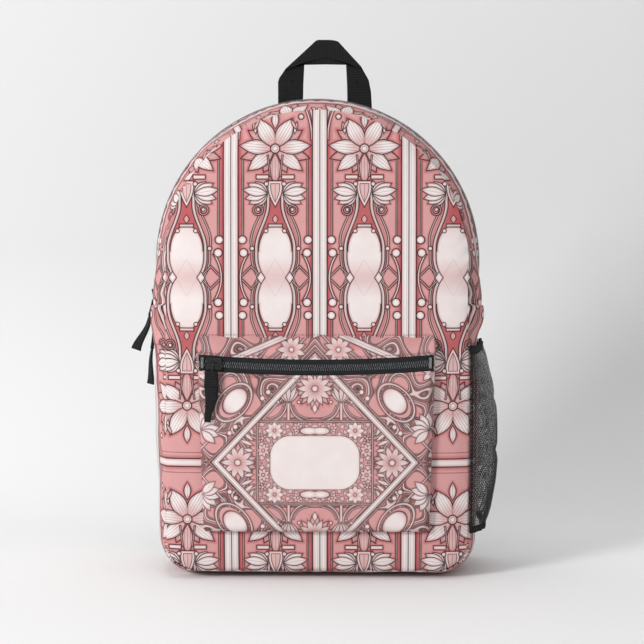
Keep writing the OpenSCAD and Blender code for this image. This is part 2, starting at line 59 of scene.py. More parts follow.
# ---------------------------------------------------------------- sizes taken from the frame
ARCH_Z = next(j["pos_m"][2] for j in frame["joints"] if j["name"] == "upper_slider_travel")
ARCH_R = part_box("rear_gusset_strip")[1].z - ARCH_Z
FRONT_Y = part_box("base_gusset")[0].y
BACK_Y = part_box("base_gusset")[1].y
SEAM_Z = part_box("base_gusset")[1].z
stops_lo, stops_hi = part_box("main_zip_stops")
ZIP_Y = (stops_lo.y + stops_hi.y) / 2
ZIP_END_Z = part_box("main_zip_tape_rear")[0].z
PANEL_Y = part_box("front_panel_lower")[0].y
pocket_lo, pocket_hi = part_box("pocket_panel")
POCKET_Y = pocket_lo.y
POCKET_W = pocket_hi.x
POCKET_Z0 = pocket_lo.z
POCKET_TOP_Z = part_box("pocket_top_strip")[1].z
BACK_PANEL_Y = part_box("back_panel")[1].y
TAPE_HALF = 10 * MM  # half the zip's visible width
ZIP_CORNER_Z = 260 * MM  # where the zip's round stretch turns straight
WIDEST_Z = 185 * MM
SIDE_HALF = 158 * MM
FOOT_HALF = 154 * MM
CORNER_R = 36 * MM
SEAM_HALF = 142.5 * MM  # half width of the printed front between its side seams
FRONT_INSET = 12 * MM
BACK_INSET = 7 * MM
POCKET_TAPE = 8 * MM
POCKET_FOOT = 106 * MM
ZIP_SAG_R = 1.300  # radius of the pocket zip's sag
ZIP_SAG_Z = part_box("pocket_zip_coil_lower")[0].z + 4 * MM


# ---------------------------------------------------------------- camera and lights
CAM_AZ, CAM_EL, CAM_DIST = math.radians(1.0), math.radians(3.0), 1.85
SENSOR, VIEW_WIDTH = 36, 0.607  # the sensor in millimetres, and the width seen at the aim in metres
AIM = Vector((0.0052, PANEL_Y, 0.2442))
cam_data = bpy.data.cameras.new("camera")
cam_data.sensor_width = SENSOR
cam_data.lens = SENSOR * CAM_DIST / VIEW_WIDTH
cam = bpy.data.objects.new("camera", cam_data)
away = Vector((math.sin(CAM_AZ) * math.cos(CAM_EL), -math.cos(CAM_AZ) * math.cos(CAM_EL), math.sin(CAM_EL)))
cam.location = AIM + away * CAM_DIST
cam.rotation_euler = (-away).to_track_quat("-Z", "Y").to_euler()
bpy.context.scene.collection.objects.link(cam)
bpy.context.scene.camera = cam
bpy.context.scene.view_settings.view_transform = "Standard"


def area_light(name, place, target, size, power):
    data = bpy.data.lights.new(name, "AREA")
    data.shape = "DISK"
    data.size = size
    data.energy = power
    lamp = bpy.data.objects.new(name, data)
    lamp.location = place
    lamp.rotation_euler = (Vector(target) - Vector(place)).to_track_quat("-Z", "Y").to_euler()
    bpy.context.scene.collection.objects.link(lamp)


KEY_POWER, FILL_POWER, TOP_POWER, SKY_STRENGTH = 66, 3, 10, 0.385
area_light("key", (-2.0, -2.3, 1.25), (0, 0, 0.2), 0.9, KEY_POWER)
area_light("fill", (1.2, -2.6, 0.8), (0, 0, 0.25), 2.0, FILL_POWER)
area_light("top", (0.0, -0.3, 2.4), (0, -0.1, 0.0), 1.6, TOP_POWER)
world = bpy.data.worlds.new("studio")
world.use_nodes = True
sky = world.node_tree.nodes["Background"]
sky.inputs["Color"].default_value = (1, 1, 1, 1)
sky.inputs["Strength"].default_value = SKY_STRENGTH
bpy.context.scene.world = world


# ---------------------------------------------------------------- shader arithmetic
class Ex:
    """A shader value. Arithmetic on it adds Math nodes to its tree."""

    made = {}
    count = 0

    def __init__(self, tree, socket):
        self.tree, self.socket = tree, socket
        Ex.count += 1
        self.serial = Ex.count

    def op(self, kind, *args, clamp=False):
        # one node per distinct value
        key = (kind, clamp) + tuple(("value", a.serial) if isinstance(a, Ex) else a for a in args)
        if key not in Ex.made:
            Ex.made[key] = self.add_node(kind, args, clamp)
        return Ex.made[key]

    def add_node(self, kind, args, clamp):
        node = self.tree.nodes.new("ShaderNodeMath")
        node.operation = kind
        node.use_clamp = clamp
        wire(*zip(node.inputs, args))
        return Ex(self.tree, node.outputs[0])

    def __add__(self, o):
        return self.op("ADD", self, o)

    __radd__ = __add__

    def __sub__(self, o):
        return self.op("SUBTRACT", self, o)

    def __rsub__(self, o):
        return self.op("SUBTRACT", o, self)

    def __mul__(self, o):
        return self.op("MULTIPLY", self, o)

    __rmul__ = __mul__

    def clamp(self):
        return self.op("ADD", self, 0.0, clamp=True)


def wire(*pairs):
    """Link each shader value to its input, or set the input to a plain value."""
    for slot, value in pairs:
        if isinstance(value, Ex):
            value.tree.links.new(value.socket, slot)
        else:
            slot.default_value = value


def lo(a, b):
    return a.op("MINIMUM", a, b)


def hi(a, b):
    return a.op("MAXIMUM", a, b)


def mag(a):
    return a.op("ABSOLUTE", a)


def length(a, b):
    return a.op("SQRT", a.op("MULTIPLY_ADD", a, a, b * b))


def fold(a, period):
    """Distance to the nearest multiple of 2 * period, folded back and forth."""
    return a.op("PINGPONG", a, period)


def sine(a):
    return a.op("SINE", a)


def ramp(a, a0, a1):
    """0 at a0, 1 at a1, straight between."""
    return a.op("MULTIPLY_ADD", a, 1 / (a1 - a0), -a0 / (a1 - a0), clamp=True)


def grouped(draw):
    """Turn a drawing step into one shared node group: Ex or number in, one value or a tuple out."""
    made = []

    def call(*args):
        if not made:
            group = bpy.data.node_groups.new(draw.__name__, "ShaderNodeTree")
            for i in range(len(args)):
                group.interface.new_socket(name=f"in{i}", in_out="INPUT", socket_type="NodeSocketFloat")
            entry = group.nodes.new("NodeGroupInput")
            found = draw(*[Ex(group, entry.outputs[i]) for i in range(len(args))])
            found = found if isinstance(found, tuple) else (found,)
            for i in range(len(found)):
                group.interface.new_socket(name=f"out{i}", in_out="OUTPUT", socket_type="NodeSocketFloat")
            leave = group.nodes.new("NodeGroupOutput")
            wire(*zip(leave.inputs, found))
            made.append((group, len(found)))
        tree = next(a.tree for a in args if isinstance(a, Ex))
        node = tree.nodes.new("ShaderNodeGroup")
        node.node_tree = made[0][0]
        if Print.latest and Print.latest.tree == tree and not draw.__name__.startswith("ink_"):
            # a shape waits for the one painted before it, so few values are held at a time
            args = (args[0].op("MULTIPLY_ADD", Print.latest, 1e-9, args[0]),) + args[1:]
        wire(*zip(node.inputs, args))
        out = tuple(Ex(tree, node.outputs[i]) for i in range(made[0][1]))
        return out if len(out) > 1 else out[0]

    return call


@grouped
def disc(x, y, cx, cy, r):
    return length(x - cx, y - cy) - r


@grouped
def slab(x, y, cx, cy, hx, hy):
    return hi(mag(x - cx) - hx, mag(y - cy) - hy)


@grouped
def oval_node(x, y, cx, cy, one_a, one_b, small):
    return (length((x - cx) * one_a, (y - cy) * one_b) - 1) * small


def oval(x, y, cx, cy, a, b):
    return oval_node(x, y, cx, cy, 1 / a, 1 / b, min(a, b))


@grouped
def leaf_node(x, y, cx, cy, c, s, turn_rate, half_reach, width):
    px, py = x - cx, y - cy
    u = px * c + py * s
    v = mag(py * c - px * s)
    belly = sine(u * turn_rate) * width
    d = hi(v - belly, mag(u - half_reach) - half_reach)
    return d, v, u


def petal(x, y, cx, cy, angle, reach, width):
    """(distance to a pointed leaf, distance from its rib, distance along it); it starts at (cx, cy)."""
    c, s = math.cos(math.radians(angle)), math.sin(math.radians(angle))
    return leaf_node(x, y, cx, cy, c, s, math.pi / reach, reach / 2, width)


def leaf(x, y, cx, cy, angle, reach, width):
    return petal(x, y, cx, cy, angle, reach, width)[0]


@grouped
def flower_node(x, y, cx, cy, turn, sector, turn_rate, reach, width):
    px, py = x - cx, y - cy
    r = length(px, py)
    a = px.op("ARCTAN2", py, px) + turn
    b = fold(a, sector)
    u = r * b.op("COSINE", b)
    v = r * sine(b)
    belly = sine(u * turn_rate) * width
    return hi(v - belly, u - reach), r, v


def flower(x, y, cx, cy, petals, reach, width, turn=0.0):
    """(distance to the petals, distance from the middle, distance from the nearest petal's rib)."""
    sector, turn_rate = math.pi / petals, math.pi / reach
    return flower_node(x, y, cx, cy, math.radians(turn) + TAU, sector, turn_rate, reach, width)


@grouped
def ink_paint(d, white, shade, dark, fill, shallow, steep, depth, thin, ink):
    inside = d.op("MULTIPLY_ADD", d, -2.2, 0.5, clamp=True)
    body = d.op("MULTIPLY_ADD", d, shallow, 0.58, clamp=True)
    rim = d.op("MULTIPLY_ADD", mag(d + 1.5), -1.5, 1.0, clamp=True) * -0.22
    new_white = white + inside * ((body + rim) * fill - white)
    new_shade = hi(shade * (1 - inside * 0.7), d.op("MULTIPLY_ADD", mag(d), steep, depth, clamp=True))
    edge = d.op("MULTIPLY_ADD", mag(d + 0.1), thin, ink, clamp=True)
    return new_white, new_shade, hi(dark * (1 - inside), edge)


@grouped
def ink_line(d, dark, slope, amount):
    return hi(dark, d.op("MULTIPLY_ADD", mag(d), slope, amount, clamp=True))


class Print:
    """Relief drawing: how white, how shaded and how dark each point of the cloth is."""
    latest = None

    def __init__(self, x):
        self.white = self.shade = self.dark = x * 0.0

    def paint(self, d, fill=1.0, line=0.75, shadow=3.2, depth=0.8, round_off=2.4):
        shadow = shadow or 1.0
        steep, depth = (-depth / shadow, depth) if shadow > 1 else (-1.0, 0.0)
        thin, ink = (-1 / (line * 0.82), 1.15) if line else (-1.0, 0.0)
        self.white, self.shade, self.dark = ink_paint(
            d, self.white, self.shade, self.dark, fill, -0.42 / round_off, steep, depth, thin, ink)
        Print.latest = self.dark

    def line(self, d, width, amount=1.0):
        """A dark line where d is near 0."""
        self.dark = ink_line(d, self.dark, -amount / width, amount)

    def ribs(self, d, v, step=1.5, amount=0.45, width=0.45):
        """Fine engraved lines along a petal, v from its rib and kept inside d."""
        self.line(hi(mag(fold(v, step)), d + 0.9), width, amount)

    def petals(self, x, y, cx, cy, sprays, fill=1.0, line=0.9, shadow=2.4, step=1.6):
        for angle, reach, width in sprays:
            d, v, u = petal(x, y, cx, cy, angle, reach, width)
            self.paint(d, fill, line, shadow)
            self.ribs(d, v, step)

    def deepen(self, amount):
        self.shade = hi(self.shade, amount)


def main_print(x, z):
    """Columns of flowers, leaves and joined ovals between grooved bars. x and z in millimetres."""
    pitch, mirror_z, tile = 41.8, 111.2, 174.9
    bar = fold(x + (20 * pitch - 3.2), pitch)
    col = pitch - bar
    v = fold(z - mirror_z + 10 * 2 * tile, tile)
    p = Print(x)
    # deeper bands and thin side rails beside the bars
    p.deepen(ramp(bar, 13.5, 8.0))
    rail = hi(mag(bar - 11.3) - 0.75, mag(v - 99.0) - 38.0)
    p.paint(rail, 0.9, 0.8, 2.0)
    p.line(hi(mag(v - 9.5), 12.0 - bar), 0.6, 0.7)
    # brackets that flare from the bars towards the cross bar
    sweep = ramp(v, 44.0, 0.0)
    sweep = sweep * sweep
    for start, spread, wide_by in ((7.5, 15.0, 1.1), (5.0, 10.0, 1.3), (3.0, 5.0, 1.2)):
        p.paint(hi(mag(bar - sweep * spread - start) - wide_by, v - 46.0), 0.9, 0.8, 2.2)
    p.paint(disc(bar, v, 17.5, 24.0, 2.6), 1.0, 0.9, 1.5)
    # back petals, then front petals of the big flower
    fv = 54.0
    r = length(col, v - fv)
    p.petals(col, v, 0.0, fv, ((-34, 31, 6.0), (16, 34, 6.0), (64, 25, 5.5)), 0.22, 1.0, 4.5, 1.3)
    glow = ramp(r, 3.0, 19.0) * 0.9 + 0.1
    tips = ramp(r, 36.0, 25.0) * 0.45 + 0.55
    for angle, reach, width in ((39, 33, 6.6), (-5, 34, 6.8), (-60, 33, 7.6)):
        d, rib, u = petal(col, v, 0.0, fv, angle, reach, width)
        p.paint(d, glow * tips, 1.0, 4.0)
        p.ribs(hi(d, 7.0 - r), rib, 1.25, 0.5)
    p.paint(disc(col, v, 0.0, fv, 4.4), 0.8, 1.0, 2.0)
    p.line(mag(disc(col, v, 0.0, fv, 2.3)), 0.6, 0.6)
    # bud and two sepals towards the cross bar
    p.paint(leaf(col, v, 0.0, 35.5, -90, 17.0, 3.4), 0.95, 0.9, 3.0)
    p.line(hi(fold(col, 1.3), hi(mag(v - 27.0) - 6.0, col - 2.4)), 0.5, 0.55)
    for cx, cy, angle, width, fill in ((18.0, 40.5, -78, 1.9, 0.95), (14.5, 26.0, 62, 1.6, 0.5)):
        p.paint(leaf(col, v, cx, cy, angle, 12.0, width), fill, 0.8, 1.8)
    # bell under the flower
    p.paint(leaf(col, v, 0.0, 58.0, 90, 30.0, 5.6), 0.3, 0.9, 3.0)
    p.line(hi(fold(col, 1.4), hi(mag(v - 72.0) - 9.0, col - 4.3)), 0.5, 0.55)
    p.paint(hi(mag(col - 7.0 + (v - 60.0) * 0.12) - 0.8, mag(v - 70.0) - 10.0), 0.7, 0.8, 1.6)
    # stems that run from the bell to the ovals
    flare = ramp(v, 106.0, 147.0)
    pinch = ramp(v, 156.0, tile)
    half = 6.6 + flare * flare * (3 - 2 * flare) * 11.2 - pinch * pinch * 6.2
    open_v = ramp(v, 79.0, 83.0)
    p.deepen(open_v * ramp(col - half, 5.0, 0.5) * 0.85)
    oval_d = hi(oval(col, v, 0.0, 150.0, 15.6, 24.5), col - half + 1.2)
    waist = hi(col - half + 1.0, 150.0 - v)
    haze = ramp(v, 156.0, 172.0) * 0.42 + ramp(v, 140.0, 124.0) * 0.2
    p.paint(lo(oval_d, waist), 1.0 - haze, 0.8, 0)
    p.line(hi(mag(mag(col) * 1.35 + mag(v - tile) * 0.8 - 14.0), mag(v - tile) - 17.0), 0.5, 0.3)
    wide = flare * (1 - flare)
    p.paint(hi(mag(col - half - 4.2 - wide * 12.0) - 0.9, 92.0 - v), 0.85, 0.85, 2.0, 0.5)
    p.line(hi(mag(col - half - 2.4 - wide * 7.0), 98.0 - v), 0.5, 0.5)
    p.paint(hi(mag(col - half) - 1.6, 84.0 - v), 1.0, 1.0, 0)
    p.line(hi(mag(col - half + 0.4), 84.0 - v), 0.4, 0.5)
    p.paint(disc(col, v, 21.8, 147.5, 2.2), 0.9, 0.9, 1.5)
    p.paint(disc(col, v, 8.6, 131.0, 2.0), 0.95, 0.8, 1.2)
    # cap of the oval and the chevron over it
    p.paint(slab(col, v, 0.0, 126.0, 6.8, 1.5), 0.85, 0.9, 2.0)
    d = hi(leaf(col, v, 0.0, 70.0, 90, 39.0, 7.0), 84.0 - v)
    p.paint(d, 0.95, 1.0, 2.0)
    p.paint(d + 2.6, 0.35, 0.6, 0)
    p.line(hi(mag(col), mag(v - 96.0) - 8.0), 0.6, 0.6)
    p.paint(leaf(col, v, 0.0, 124.0, -90, 8.0, 2.6), 0.25, 0.8, 1.5)
    # leaf spray at the stems' head
    fan = ((-44, 16, 4.0), (-27, 21, 4.4), (46, 17, 4.0), (29, 20, 4.4), (13, 22, 4.4), (-9, 24, 4.4))
    p.petals(col, v, 7.0, 96.0, fan, 1.0, 0.9, 2.6, 2.1)
    p.paint(hi(slab(col, v, 12.0, 80.5, 6.0, 2.0), disc(col, v, 11.0, 80.5, 7.0)), 1.0, 0.9, 2.2)
    p.paint(disc(col, v, 8.2, 87.0, 2.2), 0.95, 0.85, 1.6)
    # curl under the leaves
    p.paint(mag(disc(col, v, 16.2, 111.5, 4.2)) - 0.9, 0.5, 0.9, 2.4)
    p.paint(disc(col, v, 16.0, 111.0, 1.8), 0.85, 0.8, 0)
    # diamonds, chevrons and arcs at the waist
    p.paint(mag(mag(bar - 19.0) + mag(v - tile) - 10.5) * 0.7 - 0.8, 0.95, 0.85, 2.0)
    p.paint((mag(col - 13.5) * 1.5 + mag(v - tile) - 6.0) * 0.6, 0.95, 0.9, 1.5)
    p.paint(hi(mag(disc(bar, v, 47.5, tile, 38.5)) - 1.1, 153.0 - v), 0.95, 0.9, 2.0)
    # grooved bars, the cross bar and its brackets, and beads
    cross = hi(v - 3.8, 10.0 - bar)
    p.paint(cross, 0.9, 1.0, 4.0, 0.8, 3.0)
    p.paint(bar - 7.0, 1.0, 1.1, 0)
    p.deepen(ramp(mag(bar - 5.0), 1.4, 0.2) * 0.25)
    p.line(bar, 1.0, 0.95)
    p.line(bar - 2.0, 0.5, 0.35)
    p.line(bar - 4.6, 0.45, 0.25)
    for cx, cy, r in ((10.9, 139.4, 3.9), (12.0, 151.6, 4.0)):
        p.paint(disc(bar, v, cx, cy, r), 1.0, 1.0, 2.0)
    return p


def pocket_print(x, z):
    """A diamond of bars round a blank plate in a flowered frame. x and z in mm from the plate's middle."""
    ax, az = mag(x + 1.2), mag(z)
    p = Print(ax)
    diag = (ax * 1.06 + az - 101.5) * 0.686
    along = (ax - az) * 0.7071
    # scrollwork ground
    scroll = sine(ax * 0.17 + 0.6 + sine(az * 0.13)) + sine(az * 0.19 + 0.7 + sine(ax * 0.15))
    scroll = scroll + sine((ax + az) * 0.09)
    levels = ((1.0, 0.9, 0.85), (0.45, 0.5, 0.5), (-0.35, 0.9, 0.85), (-0.8, 0.5, 0.5), (1.6, 0.7, 0.7))
    for level, thick, fill in levels:
        p.paint(mag(scroll - level) * 3.6 - thick, fill, 0.7, 1.2, 0.4)
    # plain panels over and under the plate, and beside the diamond
    calm = hi(hi(ax - 62.0, 42.0 - az), (ax * 0.5 + az - 71.0) * 0.9)
    p.paint(calm, 0.0, 0.9, 0)
    p.paint(hi(mag(diag + 6.4) - 0.9, 40.0 - az), 0.6, 0.7, 0)
    p.paint(hi(mag(diag - 17.0) - 1.0, 22.0 - mag(along + 22.0)), 0.9, 0.8, 1.8)
    # ovals, flowers and beads outside the diamond
    p.paint(mag(oval(diag, along, 24.5, 14.0, 13.2, 20.5)) - 1.1, 0.9, 0.9, 2.2)
    p.paint(oval(diag, along, 24.5, 14.0, 10.6, 17.5), 0.15, 0.6, 0)
    egg = oval(diag, along, 24.5, 12.0, 9.4, 14.0)
    p.paint(egg, 1.0 - ramp(mag(along - 12.0), 5.0, 15.0) * 0.5, 1.0, 2.0)
    p.petals(ax, az, 107.0, 30.0, [(a, 18.0, 3.9) for a in range(92, 223, 26)], 0.95, 0.9, 2.4, 1.9)
    for cx, cz, petals, reach, width in ((22, 106, 9, 14, 3.0), (112, 88, 8, 15, 3.6), (60, 100, 7, 10, 2.6)):
        d, r, rib = flower(ax, az, cx, cz, petals, reach, width)
        p.paint(d, ramp(r, 2.0, 10.0) * 0.85 + 0.12, 0.9, 3.0)
        p.line(hi(rib, d + 0.6), 0.45, 0.4)
        p.paint(disc(ax, az, cx, cz, 2.4), 0.9, 0.8, 1.0)
    rope = mag(ax * 0.42 + az - 129.5) * 0.92
    p.paint(hi(rope - 3.0, mag(ax - 58.0) - 36.0), 0.9, 1.0, 3.0)
    p.line(hi(rope, mag(ax - 58.0) - 36.0), 0.6, 0.7)
    for place in (-16.0, -8.0, 29.0, 37.0):
        p.paint(disc(diag, along, 7.6, place, 2.5), 1.0, 0.9, 1.5)
    # side flowers and leaves inside the diamond
    for cx, cz, petals, reach, width in ((72.4, 0, 10, 16.5, 3.1), (0, 69.5, 11, 17.0, 3.1)):
        d, r, rib = flower(ax, az, cx, cz, petals, reach + 2.5, width, 16.0)
        p.paint(d, 0.2, 0.9, 3.5)
        d, r, rib = flower(ax, az, cx, cz, petals, reach, width)
        p.paint(d, ramp(r, 3.0, 12.0) * 0.9 + 0.1, 0.9, 3.5)
        p.line(hi(rib, d + 0.6), 0.5, 0.5)
        p.paint(disc(ax, az, cx, cz, 3.0), 0.85, 0.9, 1.0)
    for place, angle, reach in ((16.0, 22, 15), (20.0, 40, 14), (25.0, 60, 12), (11.0, 8, 10)):
        p.paint(leaf(ax, az, 57.0, place, angle, reach, 1.9), 0.95, 0.8, 1.6)
    p.paint(leaf(ax, az, 0.0, 55.5, -90, 9.0, 2.4), 0.95, 0.8, 1.5)
    # branching stems beside it
    stem_x = 24.7
    for cx in (43.5, 6.0):
        for r, half, end, *look in ((17.0, 1.0, 59.0, 0.95, 0.9, 2.0), (14.0, 0.7, 54.0, 0.6, 0.7, 0)):
            arc = mag(disc(ax, az, cx, 56.0, r)) - half
            p.paint(hi(arc, hi(ax - cx if cx > stem_x else cx - ax, az - end)), *look)
    p.paint(slab(ax, az, stem_x, 52.0, 1.5, 14.0), 0.75, 0.8, 1.6)
    spray = ((132, 15, 1.9), (48, 15, 1.9), (115, 18, 2.2), (65, 18, 2.2), (90, 20, 2.2))
    p.petals(ax, az, stem_x, 56.0, spray, 0.95, 0.8, 1.6, 1.1)
    for cx, cz in ((34.5, 57.0), (15.0, 57.0)):
        p.paint(disc(ax, az, cx, cz, 1.7), 1.0, 0.8, 1.2)
    # flowered frame round the plate
    frame_d = slab(ax, az, 0.0, 0.0, 54.0, 39.0)
    p.paint(frame_d, 0.1, 0.0, 0)
    p.deepen(ramp(frame_d, 0.0, -4.0) * 0.35)
    ring = sine(ax * 0.52 + sine(az * 0.4)) * sine(az * 0.5 + sine(ax * 0.35) * 0.8)
    p.paint(hi((mag(ring) - 0.34) * -3.4, frame_d + 1.0), 0.62, 0.8, 1.6, 0.5)
    p.line(hi(mag(mag(ring) - 0.7) * 3.0, frame_d + 1.0), 0.5, 0.5)
    small = ((37.8, 30.2, 8, 9.0), (48.5, 11.5, 7, 6.5), (16.0, 33.0, 7, 5.5), (49.0, 23.0, 5, 4.5))
    for cx, cz, petals, reach in small:
        d, r, rib = flower(ax, az, cx, cz, petals, reach, reach * 0.3)
        p.paint(d, ramp(r, 1.0, 5.5) * 0.85 + 0.15, 0.8, 2.4)
        p.paint(disc(ax, az, cx, cz, 1.5), 0.6, 0.7, 0)
    p.paint(oval(ax, az, 5.5, 30.0, 9.0, 3.6), 1.0, 0.7, 2.0)
    p.paint(mag(frame_d) - 0.8, 0.95, 0.9, 2.5)
    p.paint(hi(mag(az - 39.0) - 0.7, diag + 5.0), 0.85, 0.8, 0)
    plate = length(hi(ax - 23.0, 0.0), hi(az - 6.5, 0.0)) - 19.0
    p.deepen(ramp(plate, 3.5, 0.0) * 0.4)
    p.paint(plate, 1.0, 0.5, 2.0, 0.8, 0.8)
    # the diamond's own bar, grooved
    p.paint(mag(diag + 1.6) - 2.9, 1.0, 1.0, 3.6)
    p.line(diag + 0.4, 0.5, 0.75)
    p.line(diag + 2.6, 0.45, 0.35)
    p.paint(mag(diag - 2.9) - 0.8, 0.35, 0.9, 0)
    return p


def srgb(r, g, b):
    """Linear colour from 8-bit sRGB."""
    def linear(c):
        return c / 255 / 12.92 if c <= 10 else ((c / 255 + 0.055) / 1.055) ** 2.4

    return linear(r), linear(g), linear(b), 1


GROUND = srgb(206, 153, 152)
DEEP = srgb(178, 90, 93)
WHITE = srgb(231, 224, 222)
DARK = srgb(34, 6, 11)


def new_material(name):
    mat = bpy.data.materials.new(name)
    mat.use_nodes = True
    return mat, mat.node_tree, mat.node_tree.nodes["Principled BSDF"]


def cloth_coords(tree):
    """The cloth's own flat coordinates, in millimetres."""
    uv = tree.nodes.new("ShaderNodeUVMap")
    uv.uv_map = "Cloth"
    split = tree.nodes.new("ShaderNodeSeparateXYZ")
    tree.links.new(uv.outputs[0], split.inputs[0])
    return Ex(tree, split.outputs[0]) * 1000.0, Ex(tree, split.outputs[1]) * 1000.0


def mix(factor, a, b):
    """Colour a where factor is 0, and b where it is 1."""
    node = factor.tree.nodes.new("ShaderNodeMix")
    node.data_type = "RGBA"
    wire((node.inputs[0], factor), (node.inputs[6], a), (node.inputs[7], b))
    return Ex(factor.tree, node.outputs[2])


def cloud(tree, scale, detail=3.0):
    """Soft noise from the object's own place."""
    where = tree.nodes.new("ShaderNodeTexCoord")
    node = tree.nodes.new("ShaderNodeTexNoise")
    node.inputs["Scale"].default_value = scale
    node.inputs["Detail"].default_value = detail
    tree.links.new(where.outputs["Object"], node.inputs["Vector"])
    return Ex(tree, node.outputs[0])


def look(shader, colour, rough, specular=0.5):
    wire((shader.inputs["Base Color"], colour), (shader.inputs["Roughness"], rough))
    shader.inputs["Specular IOR Level"].default_value = specular


def bump(shader, height, distance, strength):
    node = height.tree.nodes.new("ShaderNodeBump")
    for key, value in (("Strength", strength), ("Distance", distance), ("Height", height)):
        wire((node.inputs[key], value))
    height.tree.links.new(node.outputs[0], shader.inputs["Normal"])


def weave(x, y, pitch):
    """Over-and-under threads, -1 to 1."""
    return sine(x * (TAU / pitch)) * sine(y * (TAU / pitch))


def knit(x, y, pitch):
    """Two slanted sets of waves."""
    across, along = x * (TAU / pitch), y * (math.pi / pitch)
    return sine(across + along), sine(across - along)


def printed_cloth(name, draw, shift_z=0.0, tint=1.1, ink=0.82):
    mat, tree, shader = new_material(name)
    x, z = cloth_coords(tree)
    p = draw(x, z - shift_z if shift_z else z)
    soft = cloud(tree, 55.0)
    colour = mix((p.shade * tint + (soft - 0.5) * 0.5).clamp(), GROUND, DEEP)
    colour = mix((p.white * (0.9 + (soft - 0.5) * 0.3)).clamp(), colour, WHITE)
    colour = mix((p.dark * (ink + soft * 0.4)).clamp(), colour, DARK)
    threads = weave(x, z, 0.9)
    look(shader, colour, threads * 0.04 + 0.78, 0.12)
    bump(shader, threads * 0.5 + cloud(tree, 900.0), 0.00012, 0.6)
    return mat


def dark_cloth(name, base, light, pitch, kind, rough=0.75, depth=0.0003):
    """Black textile: ribbed webbing, plain weave or knitted spacer mesh."""
    mat, tree, shader = new_material(name)
    x, y = cloth_coords(tree)
    if kind == "rib":
        form = mag(sine(y * (math.pi / pitch))) * 0.75 + weave(x, y, pitch * 0.6) * 0.25
    elif kind == "knit":
        form = 1 - hi(*knit(x, y, pitch))
    else:
        form = weave(x, y, pitch) * 0.5 + 0.5
    tone = (form * 0.5 + cloud(tree, 120.0) * 0.5).clamp()
    look(shader, mix(tone, base, light), form * -0.12 + rough + 0.08, 0.3)
    bump(shader, form, depth, 0.8)
    return mat


def open_mesh(name, pitch):
    """See-through knitted net: round holes between twisted threads."""
    mat, tree, shader = new_material(name)
    x, y = cloth_coords(tree)
    a, b = knit(x, y, pitch)
    hole = ramp(lo(mag(a), mag(b)), 0.3, 0.38)
    look(shader, mix(cloud(tree, 300.0), srgb(14, 14, 16), srgb(60, 60, 64)), 0.6)
    bump(shader, a * b, 0.0003, 0.7)
    wire((shader.inputs["Alpha"], 1 - hole))
    return mat


def hard(name, colour, light, rough, metallic=0.0, grain=400.0, coat=0.0):
    mat, tree, shader = new_material(name)
    speck = cloud(tree, grain, 5.0)
    look(shader, mix(ramp(speck, 0.35, 0.75), colour, light), speck * 0.2 + rough)
    wire((shader.inputs["Metallic"], metallic), (shader.inputs["Coat Weight"], coat))
    bump(shader, speck, 0.00005, 0.5)
    return mat


PRINTED = printed_cloth("printed_cloth", main_print)
PLATE_MM = 113.0  # height of the middle of the pocket's plate, in millimetres
POCKET_PRINT = printed_cloth("printed_pocket", pocket_print, shift_z=PLATE_MM, tint=0.65, ink=0.62)
WEBBING = dark_cloth("ribbed_webbing", srgb(4, 4, 6), srgb(28, 29, 31), 2.6, "rib", 0.8, 0.0004)
TAPE = dark_cloth("zip_tape_weave", srgb(12, 13, 14), srgb(36, 37, 39), 1.1, "plain", 0.8, 0.0002)
AIR_MESH = dark_cloth("spacer_mesh", srgb(14, 14, 16), srgb(60, 60, 64), 3.2, "knit", 0.8, 0.0006)
LINING = dark_cloth("lining_weave", srgb(34, 34, 37), srgb(66, 66, 70), 0.9, "plain", 0.85, 0.0002)
BLACK_CLOTH = dark_cloth("black_oxford", srgb(16, 16, 18), srgb(50, 50, 54), 1.3, "plain", 0.75, 0.0003)
NET = open_mesh("open_net", 4.2)
COIL = hard("nylon_coil", srgb(72, 74, 78), srgb(150, 152, 156), 0.2, 0.0, 900.0)
ENAMEL = hard("black_enamel", srgb(20, 20, 22), srgb(52, 52, 55), 0.25, 0.6, 500.0, 0.3)
ACETAL = hard("moulded_acetal", srgb(17, 17, 19), srgb(36, 36, 39), 0.42, 0.0, 700.0)
THREAD = hard("seam_thread", srgb(112, 74, 78), srgb(176, 132, 134), 0.7, 0.0, 1500.0)
FOAM = hard("cell_foam", srgb(150, 150, 146), srgb(200, 200, 195), 0.8, 0.0, 1200.0)


# ---------------------------------------------------------------- mesh building
def mesh_object(name, verts, faces, uvs, material):
    mesh = bpy.data.meshes.new(name)
    mesh.from_pydata([tuple(v) for v in verts], [], faces)
    layer = mesh.uv_layers.new(name="Cloth")
    for loop in mesh.loops:
        layer.data[loop.index].uv = uvs[loop.vertex_index]
    mesh.shade_smooth()
    mesh.materials.append(material)
    obj = bpy.data.objects.new(name, mesh)
    bpy.context.scene.collection.objects.link(obj)
    return obj


FOLDING = "folding"  # stands in a body's place for a piece that spans from the body to the opening front; it rides on no body, and its place is baked into its mesh


def settle(obj, body, *nodes):
    """The piece rides on body, or with FOLDING rides on none and has its place baked in; it stands for the CAD
    nodes, which are hidden.
    """
    if body == FOLDING:
        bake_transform(obj)
    else:
        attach(obj, body)
    if nodes:
        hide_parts(*nodes)
    return obj


def grid_faces(rows, cols, start=0, flip=False, wrap=False):
    faces = []
    for i in range(rows - 1):
        for j in range(cols if wrap else cols - 1):
            a, b = start + i * cols, (j + 1) % cols
            quad = (a + j, a + cols + j, a + cols + b, a + b)
            faces.append(quad[::-1] if flip else quad)
    return faces


